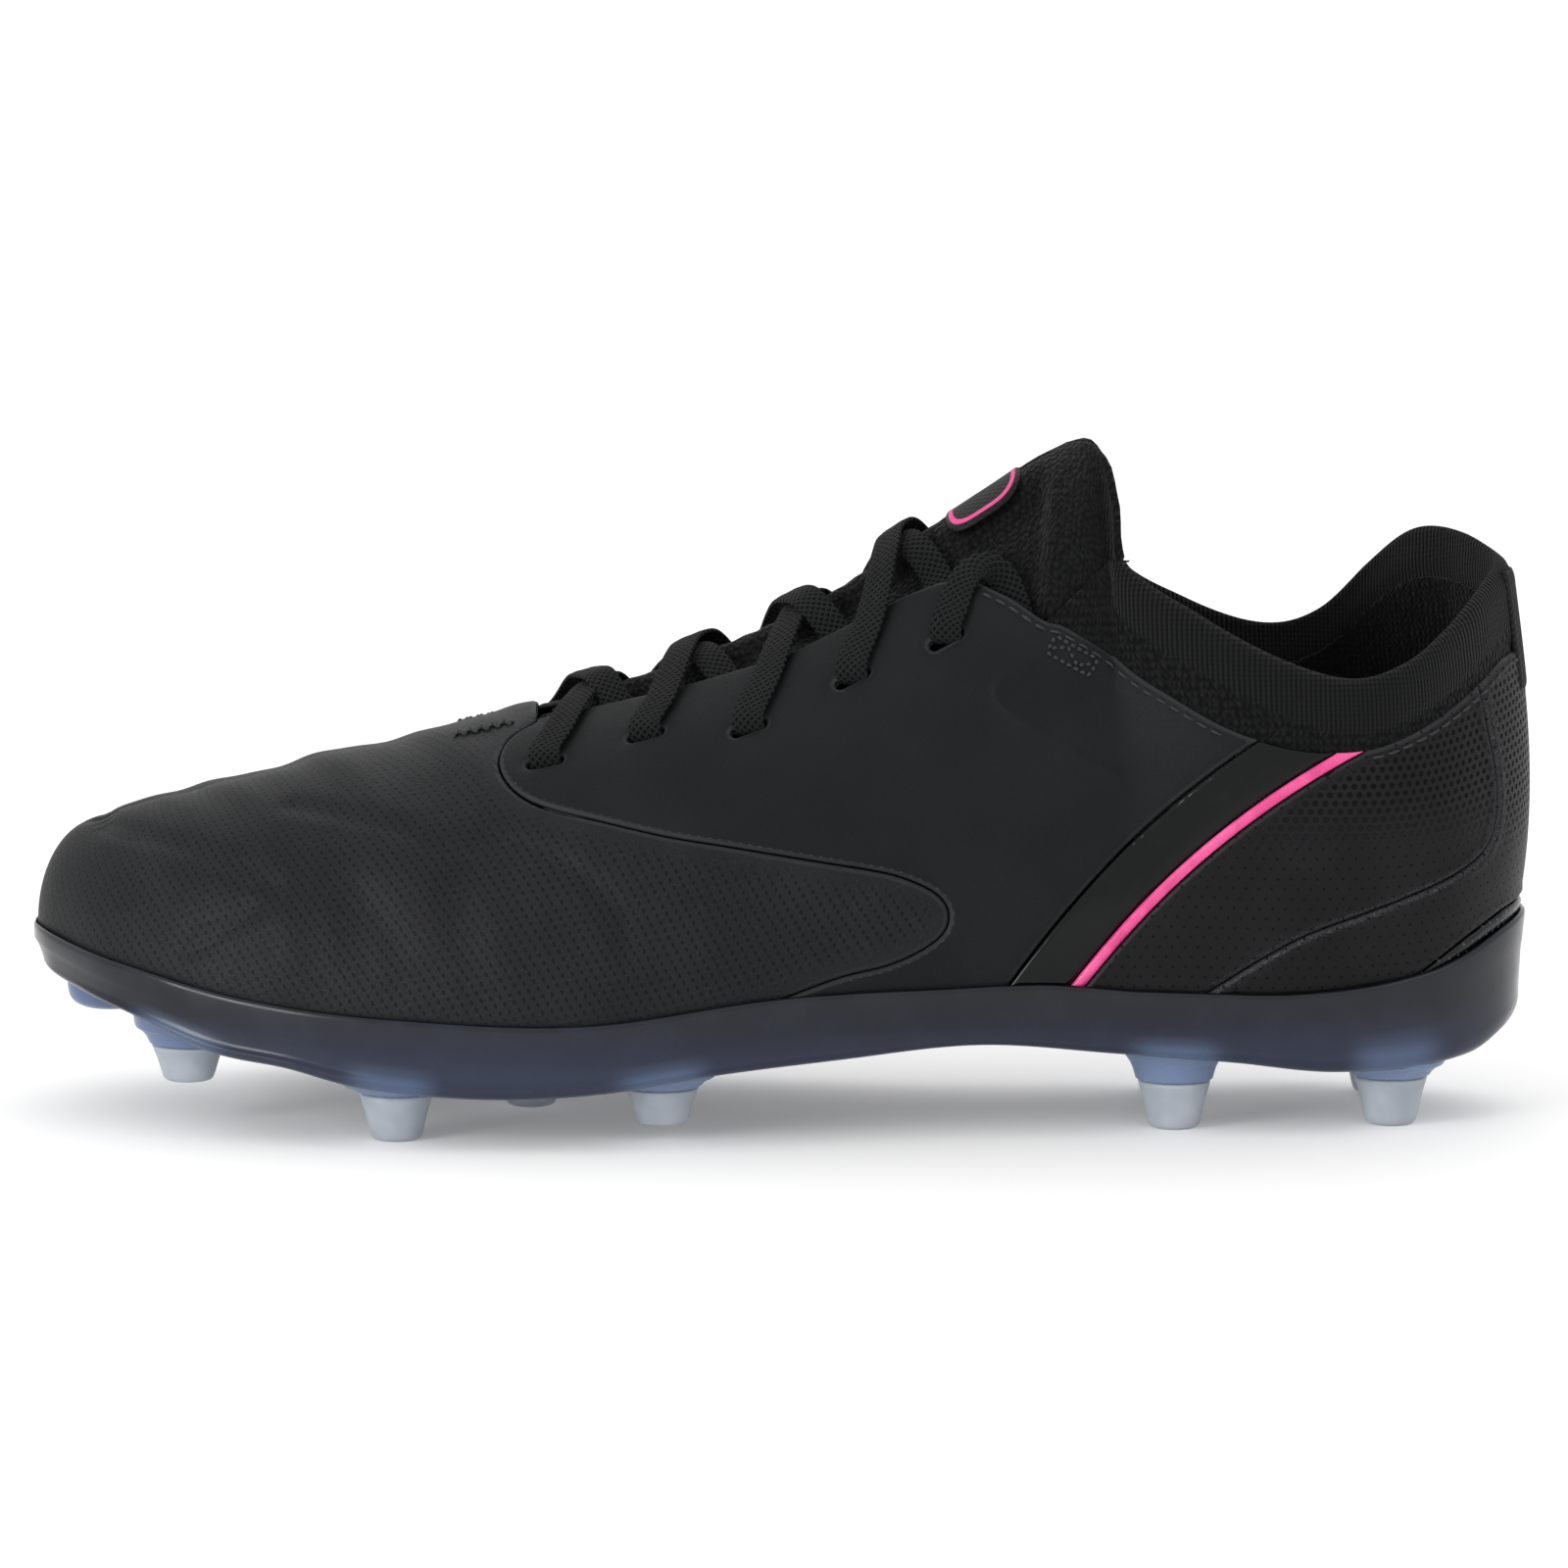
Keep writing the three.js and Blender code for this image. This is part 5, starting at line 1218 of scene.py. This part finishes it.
def lace_route():
    """(side, t, v, distance) of the lace: one end, up the throat's strands, and the other end."""
    eye = {s: [(s, *EYELET_TV[s][k]) for k in range(len(EYELETS))] for s in SIDES}
    over, run = LACE_OVER, LACE_RUN
    pin = [(0.03, run), (0.007, run + 0.15), (0, run + 0.9), (0, over - 0.9), (0.007, over - 0.15), (0.03, over)]

    def one(a, b, height):
        (s0, t0, v0), (s1, t1, v1) = a, b
        mid = (t0 + t1) / 2
        path = [(s0, t0, v0 + dv, d) for dv, d in pin]
        for f in (0.25, 0.45, 0.62, 0.8):
            path.append((s0, t0 + (mid - t0) * f, v0 + (1 - v0) * f,
                         over + float(smooth(0.3, 0.8, f)) * (height - over) + 0.35 * math.sin(PI * f)))
        path.append((s0, mid, 1.0, height))
        for f in (0.2, 0.36, 0.5, 0.64, 0.8, 0.9):
            d = height + (run - height) * float(smooth(0.2, 0.52, f))
            path.append((s1, mid + (t1 - mid) * f, 1 + (v1 - 1) * f, d))
        return path

    def tail(a):
        s, t, v = a
        path = [(s, t, v + dv, d) for dv, d in pin]
        for x, z, d in ((31.4, 97, over), (32.8, 100.8, over), (35, 104, over), (37.6, 105.4, over - 0.8),
                        (39.8, 104.6, run + 1), (41.4, 101.8, run), (42.6, 98.6, run), (43.7, 95.2, run)):
            path.append((s, *locate(s, [[x, z]])[0], d))
        return path

    def strand(side, height):
        path = []
        for k in range(len(EYELETS) - 1):
            other = "medial" if side == "lateral" else "lateral"
            path += one(eye[side][k], eye[other][k + 1], height)
            side = other
        return path + tail(eye[side][-1])

    bar = []
    for s, fs in (("lateral", (0.12, 0.35, 0.6, 0.85, 1.0)), ("medial", (0.85, 0.6, 0.35, 0.12))):
        _, t, v = eye[s][0]
        bar += [(s, t, v + (1 - v) * f, run) for f in fs]
    return strand("lateral", LACE_OVER)[::-1] + bar + strand("medial", LACE_CROSSING)


def make_lace():
    """The flat lace as one swept solid, and its centreline."""
    route = lace_route()
    p = np.array([at(s, t, v, d) for s, t, v, d in route])
    n = np.array([at(s, t, v, d + 1) for s, t, v, d in route]) - p
    s = np.r_[0, np.cumsum(np.linalg.norm(np.diff(p, axis=0), axis=1))]
    keep = np.r_[True, np.diff(s) > 1e-3]
    p, n, s = p[keep], n[keep], s[keep]
    k = np.linspace(0, s[-1], int(s[-1] / 0.7))
    c = through(np.c_[s, p], k)
    for _ in range(5):
        c[1:-1] = (c[:-2] + 2 * c[1:-1] + c[2:]) / 4
    nn = np.stack([np.interp(k, s, n[:, i]) for i in range(3)], 1)
    go = unit(np.gradient(c, axis=0))
    w = np.cross(go, nn)
    size = np.linalg.norm(w, axis=1)
    last = None
    for i in range(len(w)):
        if last is not None and size[i] < 0.5:
            w[i] = last - go[i] * (last @ go[i])
        w[i] /= np.linalg.norm(w[i])
        if last is not None and w[i] @ last < 0:
            w[i] = -w[i]
        last = w[i]
    for _ in range(4):
        w[1:-1] = (w[:-2] + 2 * w[1:-1] + w[2:]) / 4
    w = unit(w - go * (w * go).sum(1, keepdims=True))
    up = np.cross(w, go)
    m = 30
    a = 2 * PI * np.arange(m) / m
    x = LACE_WIDTH / 2 * np.sign(np.cos(a)) * np.abs(np.cos(a)) ** 0.75
    cords = 1 - 0.16 * (1 - np.abs(np.cos(x * PI / 1.5)))
    y = LACE_THICKNESS / 2 * np.sign(np.sin(a)) * np.abs(np.sin(a)) ** 0.6 * cords
    V = (c[:, None] + w[:, None] * x[None, :, None] + up[:, None] * y[None, :, None]).reshape(-1, 3)
    UV = np.stack(np.broadcast_arrays(k[:, None], x[None, :]), -1).reshape(-1, 2)
    L = len(c)
    ob = build("flat_lace", V, tube(L - 1, m) + caps(L - 1, m), lace_material(), "lace", stands_for=["lace"], uv=UV)
    return ob, c


# ------------------------------------------------------------------ sole
STUDS = [
    ["lateral_toe", -111.6, -18.5, 8.4], ["medial_toe", -107, 25.5, 8.4],
    ["lateral_ball", -72, -34, 0], ["medial_ball", -70, 34, 0], ["centre_forefoot", -48, 0, 0.4],
    ["lateral_waist", -22.6, -34.5, 3], ["medial_waist", -24, 26, 3],
    ["lateral_heel_front", 73, -21.5, 0], ["medial_heel_front", 73, 18.5, 0],
    ["lateral_heel_rear", 113.8, -17.5, 0], ["medial_heel_rear", 113.8, 17, 0],
]
TOE_LUG = (-128, 7, 18)
STUD_FLARE, STUD_NECK, STUD_TIP_TOP, STUD_TIP_END, STUD_TIP_HEIGHT = 10.0, 7.2, 6.8, 4.4, 9.2


def neck_height(x, ground):
    sole = min(float(sole_under(x * LENGTH_K + d)) for d in (-STUD_NECK, 0, STUD_NECK))
    return min(ground + STUD_TIP_HEIGHT, sole - 0.8)


def lathe(profiles, sides=56):
    """Closed turned solids: (x, y, [(radius, z) from top to bottom])."""
    V, F = [], []
    for x, y, prof in profiles:
        base, n = len(V), len(prof)
        for r, z in prof:
            for j in range(sides):
                a = 2 * PI * j / sides
                V.append((x + r * math.cos(a), y + r * math.sin(a), z))
        F += tube(n - 1, sides, base, True) + [f[::-1] for f in caps(n - 1, sides, base)]
    return np.array(V), F


def fair(points, n):
    """A smooth profile through the points, in about n steps."""
    return curve2(points, sum(math.dist(a, b) for a, b in zip(points, points[1:])) / n)


def stud_profiles(x, ground):
    """The flared root and the tip of a stud at x, as (radius, z) from top to bottom."""
    X = x * LENGTH_K
    neck, low = neck_height(x, ground), float(sole_under(X))
    top = max(float(sole_under(X - STUD_FLARE)), float(sole_under(X + STUD_FLARE))) + 0.7
    drop = low - neck
    flare = fair([[STUD_FLARE + 0.4, top], [STUD_FLARE, low + 0.15], [8.9, low - 0.22 * drop],
                  [8.0, neck + 0.48 * drop], [7.5, neck + 0.2 * drop], [7.3, neck + 0.25]], 18)
    t = neck - 0.12
    cone = fair([[STUD_TIP_TOP, t - 0.35], [STUD_TIP_TOP * 0.86, (t + ground) * 0.5 + 0.8],
                 [STUD_TIP_END + 0.5, ground + 1.2], [STUD_TIP_END + 0.1, ground + 0.35],
                 [STUD_TIP_END - 0.6, ground + 0.02]], 16)
    root = [(0.3, top), *map(tuple, flare), (STUD_NECK - 0.25, neck), (0.3, neck)]
    return root, [(0.3, t), (STUD_TIP_TOP - 0.35, t), *map(tuple, cone), (0.3, ground)]


def make_studs():
    roots, tips = [], {}
    for name, x, y, ground in STUDS:
        root, tip = stud_profiles(x, ground)
        roots.append((x * LENGTH_K, y * WIDTH_K, root))
        tips[name] = (x * LENGTH_K, y * WIDTH_K, tip)
    x, y, low = TOE_LUG
    top = float(sole_under(x * LENGTH_K)) + 1.5
    lug = fair([[8.5, top], [8.1, low + 3.2], [7.2, low + 1.4], [5.2, low + 0.3], [3.0, low]], 16)
    roots.append((x * LENGTH_K, y * WIDTH_K, [(0.3, top)] + [tuple(q) for q in lug] + [(0.3, low)]))
    blue = sole_material("blue_stud_base", lin(77, 92, 123), lin(106, 123, 154), 26, 8.5, 0.22)
    build("stud_bases", *lathe(roots), blue, "sole", stands_for=["outsole_plate"])
    clear = tip_material()
    for name, prof in tips.items():
        build("clear_tip_" + name, *lathe([prof]), clear, "stud_tip", stands_for=["stud_tip_" + name])


PLATE_GAP = 0.35
CUP_ROWS = (-1.0, -0.85, -0.7, -0.5, -0.35, -0.2, -0.1, 0.0, 0.05)
WALL_PROFILE = (        # how far down, how far out, and how far the forefoot's ledge stands out
    (0.12, 0.25, 0), (0.22, 0.0, 0), (0.4, -0.15, 0), (0.6, -0.3, 0), (0.7, -0.35, 0.15), (0.75, -0.35, 0.7),
    (0.78, -0.35, 0.8), (0.8, -0.4, 0.1), (0.86, -0.55, 0), (0.92, -0.95, 0), (0.97, -1.9, 0),
)


def plate_side(side, t):
    """Rows of points up the inside of the plate's rim and down its wall, and how near each is to a stud."""
    F, o = feather(side, t), outward(side, t)
    low = sole_under(F[:, 0] - o[:, 0] * 4)
    cup = [at(side, t, t * 0 + v, PLATE_GAP) for v in CUP_ROWS]
    cup[0][:, 2] = np.minimum(cup[0][:, 2], station(BED_Z, t) - 0.6)
    edge_z = cup[-1][:, 2] + 0.125 * np.sin(t * 40)
    reach = ((cup[-1] - F) * o).sum(1)

    def at_wall(dn, z):
        return np.stack([F[:, 0] + o[:, 0] * dn, F[:, 1] + o[:, 1] * dn, z], -1)

    outside = -1 if side == "lateral" else 1
    drop = F[:, 2] - low
    ledge = smooth(-12, -30, F[:, 0]) * smooth(-134, -122, F[:, 0])
    slim = smooth(0.09, 0.0, t)
    lip = 1.0 - 0.6 * slim
    shade = []
    outer = [at_wall(reach + lip * 0.45, edge_z + 0.25), at_wall(reach + lip * 0.95, edge_z - 0.25),
             at_wall(reach + lip, edge_z - 0.9)]
    for f, d, step in WALL_PROFILE:
        swell = smooth(0.45, 0.8, f) * sum(np.exp(-((F[:, 0] - x * LENGTH_K) / 7.5) ** 4)
                                           for _, x, y, _ in STUDS if y * outside > 10)
        outer.append(at_wall(PLATE_GAP + lip + d + step * ledge * (1 - 0.6 * swell) + 0.5 * swell - 2.2 * slim * f,
                             F[:, 2] - drop * f))
        shade.append(swell)
    outer.append(at_wall(-4.2, low))
    return cup, outer, [t * 0] * (len(outer) - len(shade) - 1) + shade + [shade[-1]]


def make_plate():
    """The moulded plate: cup, rim, wall and flat underside in one closed loop of rows."""
    n = 260
    t = np.linspace(0, 1, n + 1)
    (cl, ol, sl), (cm, om, sm) = (plate_side(side, t) for side in SIDES)
    cross = [ol[-1] + (om[-1] - ol[-1]) * f for f in np.linspace(0, 1, 14)[1:-1]]
    floor = [cm[0] + (cl[0] - cm[0]) * f for f in np.linspace(0, 1, 14)[1:-1]]
    loop = cl + ol + cross + om[::-1] + cm[::-1] + floor
    zero = [t * 0]
    root = np.stack(zero * len(cl) + sl + zero * len(cross) + sm[::-1] + zero * (len(cm) + len(floor)), 1).reshape(-1)
    loop = np.stack(loop, 1)
    m = loop.shape[1]
    V = loop.reshape(-1, 3)
    mat = sole_material("navy_sole", lin(9, 11, 18), lin(28, 35, 56), 28, 12, 0.18, True)
    shell = build("outsole_shell", V, tube(n, m), mat, "sole", stands_for=["outsole_plate"], attrs={"root": root})
    merge_doubles(shell, 1e-6)


def make_shank():
    """The raised bar under the waist, with a groove along its middle."""
    steps, half, y = 60, 12.0, -4 * WIDTH_K
    V = []
    half_section = [(-1, 0), (-0.97, 0.55), (-0.86, 0.9), (-0.7, 1), (-0.35, 1.0), (-0.2, 0.72)]
    sec = half_section + [(-a, d) for a, d in half_section[::-1]]
    for i in range(steps + 1):
        f = i / steps
        x = (-14 + 62 * f) * LENGTH_K
        w = half * (0.45 + 0.55 * math.sin(PI * (0.12 + 0.76 * f)))
        z = float(sole_under(x)) - 0.2
        for a, d in sec:
            V.append((x, y + a * w, z - 1.4 * d))
    k = len(sec)
    mat = sole_material("navy_shank", lin(30, 36, 54), lin(42, 50, 76), 18, 13, 0.24)
    build("shank_bar", V, tube(steps, k) + caps(steps, k), mat, "shank", stands_for=["shank_bridge"])


def make_bed():
    """Board, sockliner foam and its cover: thin rounded slabs in the bottom of the shoe."""
    def slab(name, z0, z1, mat, slot, body, node, crown=0.0):
        n = 160
        t = np.linspace(0, 1, n + 1)
        l = feather("lateral", t) - outward("lateral", t) * 6.3
        m = feather("medial", t) - outward("medial", t) * 6.3
        z = station(BED_Z, t)
        fr = np.linspace(0, 1, 25)
        top = l[:, None] + (m - l)[:, None] * fr[None, :, None]
        low = top.copy()
        edge = 1 - np.abs(2 * fr - 1)
        roll = np.minimum(edge / 0.06, 1) ** 0.5
        top[..., 2] = z[:, None] + z1 - 0.4 * (1 - roll) * (z1 - z0) + crown * roll
        low[..., 2] = z[:, None] + z0
        V = np.r_[top.reshape(-1, 3), low.reshape(-1, 3)]
        k, N = 25, (n + 1) * 25
        F = leaves(n, k - 1, N)
        for i in range(n):
            a, b = i * k, i * k + k - 1
            F += [(a, N + a, N + a + k, a + k), (b, b + k, N + b + k, N + b)]
        for i in (0, n):
            for j in range(k - 1):
                a = i * k + j
                F.append((a, a + 1, N + a + 1, N + a) if i == 0 else (a, N + a, N + a + 1, a + 1))
        ob = build(name, V, F, mat, slot, body=body, stands_for=[node], uv=np.r_[V[:, :2]])
        merge_doubles(ob)
        return ob

    weave = woven_material("lasting_board_weave", lin(120, 114, 100), lin(150, 143, 128), 1.2)
    foam = plain_grain("insole_foam", lin(48, 50, 54), lin(64, 66, 71), 1600, 0.92)
    cloth = woven_material("insole_cover_weave", lin(20, 21, 23), lin(44, 46, 50), 1.1, 0.85)
    slab("lasting_board", -0.2, 1.3, weave, "board", BODY, "strobel_board")
    cushion = slab("insole_foam", 1.6, 5.2, foam, "foam", LINER, "sockliner_foam")
    slab("insole_cover", 5.5, 6.2, cloth, "cover", LINER, "sockliner_cover")


def make_patch():
    """The blank patch on the tongue."""
    n, k = 14, 44
    V = []
    for ring in range(n + 1):
        f = ring / n
        for j in range(k):
            a = 2 * PI * j / k
            c = math.copysign(abs(math.cos(a)) ** 0.6, math.cos(a))
            q = math.copysign(abs(math.sin(a)) ** 0.6, math.sin(a))
            x, y = 37 + 7 * c * f, 9.5 * q * f
            V.append((x, y))
    V = np.array(V)
    side_of = np.where(V[:, 1] < 0, "lateral", "medial")
    P = np.zeros((len(V), 3))
    N = np.zeros((len(V), 3))
    for s in SIDES:
        m = side_of == s
        tv = locate(s, V[m], (0, 1))
        P[m] = at(s, *tv.T)
        N[m] = at(s, *tv.T, np.ones(m.sum())) - P[m]
    f = np.repeat(np.arange(n + 1) / n, k)
    rise = -0.2 - 0.45 * np.clip((f - 0.9) / 0.1, 0, 1) ** 2 + 0.14 * mark(f, 0.84, 0.04)
    top, low = P + N * rise[:, None], P - N * 1.1
    W = np.r_[top, low]
    M = len(P)
    F = tube(n, k, 0, True) + tube(n, k, M)
    for j in range(k):
        a, b = n * k + j, n * k + (j + 1) % k
        F.append((a, M + a, M + b, b))
    build("blank_patch", W, F, patch_material(), "label", stands_for=["tongue_label"], uv=np.r_[V, V],
          attrs={"rim": np.r_[f, f]})


def make_pull_tab():
    """The webbing over the back of the heel."""
    lo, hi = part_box("pull_tab")
    m, n = 25, 30
    ys = np.linspace(-7.5, 7.5, m)
    zs = np.linspace(lo[2] / MM + 0.4, hi[2] / MM - 0.2, n)
    P = np.zeros((m, n, 3))
    N = np.zeros((m, n, 3))
    for i, y in enumerate(ys):
        s = "lateral" if y < 0 else "medial"
        tv = np.array([[1.0, np.interp(z, GRID_P[s][-1, 30:, 2], VS[30:])] for z in zs])
        for _ in range(8):
            p = at(s, *tv.T)
            tv = np.clip(walk(s, tv, np.c_[zs * 0, y - p[:, 1], zs - p[:, 2]]), [0.86, 0.1], [1, 1])
        P[i] = at(s, *tv.T)
        N[i] = at(s, *tv.T, np.ones(n)) - P[i]
    i, j = np.arange(m), np.arange(n)
    rim = np.minimum(np.minimum(i, m - 1 - i)[:, None], np.minimum(j, n - 1 - j)[None]) / 2.0
    r = 0.35 - 0.35 * np.clip(1 - rim, 0, 1) ** 2 + 0.08 * np.sin(i * 1.6)[:, None]
    top, low = (P + N * r[..., None]).reshape(-1, 3), (P - N * 0.7).reshape(-1, 3)
    W, M = np.r_[top, low], m * n
    F = leaves(m - 1, n - 1, M)
    grid = np.arange(M).reshape(m, n)
    ring = [*grid[0], *grid[1:, -1], *grid[-1, -2::-1], *grid[-2:0:-1, 0]]
    F += [(a, b, M + b, M + a) for a, b in zip(ring, ring[1:] + ring[:1])]
    UV = np.stack(np.meshgrid(ys, zs, indexing="ij"), -1).reshape(-1, 2)
    build("pull_tab_webbing", W, F, woven_material("webbing", lin(4, 4, 5), lin(22, 23, 24), 1.3), "webbing",
          stands_for=["pull_tab"], uv=np.r_[UV, UV])


def finish_aglets():
    plastic = plain_grain("aglet_plastic", lin(16, 17, 20), lin(28, 30, 34), 500, 0.3)
    for side in SIDES:
        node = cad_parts["aglet_" + side]
        node.data.materials.clear()
        node.data.materials.append(plastic)


# ------------------------------------------------------------------ set
CAMERA_TILT, CAMERA_AWAY, CAMERA_AIM_Z, VIEW_WIDTH, SENSOR = math.radians(8), 1.6, 0.0617, 0.296, 36.0
LAMPS = (       # place, size and power
    ("key", (-0.85, -0.8, 0.36), 0.5, 6.0),
    ("fill", (0.7, -0.6, 0.6), 0.5, 0.6),
    ("rear", (0.1, 0.6, 0.85), 0.7, 1.0),
)
LAMP_AIM = (0, 0, 0.05)


def camera_and_light():
    cam = bpy.data.cameras.new("camera")
    cam.sensor_width = SENSOR
    cam.lens = SENSOR * CAMERA_AWAY / VIEW_WIDTH
    ob = bpy.data.objects.new("camera", cam)
    ob.location = (0, -CAMERA_AWAY * math.cos(CAMERA_TILT), CAMERA_AIM_Z + CAMERA_AWAY * math.sin(CAMERA_TILT))
    ob.rotation_euler = (PI / 2 - CAMERA_TILT, 0, 0)
    cam.clip_end = 50
    bpy.context.scene.collection.objects.link(ob)
    bpy.context.scene.camera = ob
    bpy.context.scene.view_settings.view_transform = "Standard"
    world = bpy.data.worlds.new("studio")
    world.use_nodes = True
    sky = world.node_tree.nodes["Background"].inputs
    sky[0].default_value, sky[1].default_value = (1, 1, 1, 1), 1.0
    bpy.context.scene.world = world
    for name, loc, size, power in LAMPS:
        light = bpy.data.lights.new(name, "AREA")
        light.shape, light.size, light.energy = "SQUARE", size, power
        lamp = bpy.data.objects.new(name, light)
        lamp.location = loc
        lamp.rotation_euler = (Vector(LAMP_AIM) - Vector(loc)).to_track_quat("-Z", "Y").to_euler()
        bpy.context.scene.collection.objects.link(lamp)


def make_floor():
    me = bpy.data.meshes.new("floor")
    me.from_pydata([(-6, -6, 0), (6, -6, 0), (6, 6, 0), (-6, 6, 0)], [], [(0, 1, 2, 3)])
    s = Shade("pale_floor")
    pale = s.mix(s.noise(3, 2), (0.87, 0.87, 0.87, 1), (0.89, 0.89, 0.89, 1))
    me.materials.append(s.finish(Base_Color=pale, Roughness=0.7, Emission_Color=(1, 1, 1, 1), Emission_Strength=0.16))
    floor = bpy.data.objects.new("floor", me)
    bpy.context.scene.collection.objects.link(floor)


def main():
    camera_and_light()
    make_floor()
    lace, centre = make_lace()
    sheets = [Sheet(s, 1.5) for s in SIDES]
    edge = upper(sheets)
    knits(sheets, edge)
    linings(sheets)
    seams()
    make_plate()
    make_shank()
    make_studs()
    make_bed()
    make_patch()
    make_pull_tab()
    finish_aglets()


main()
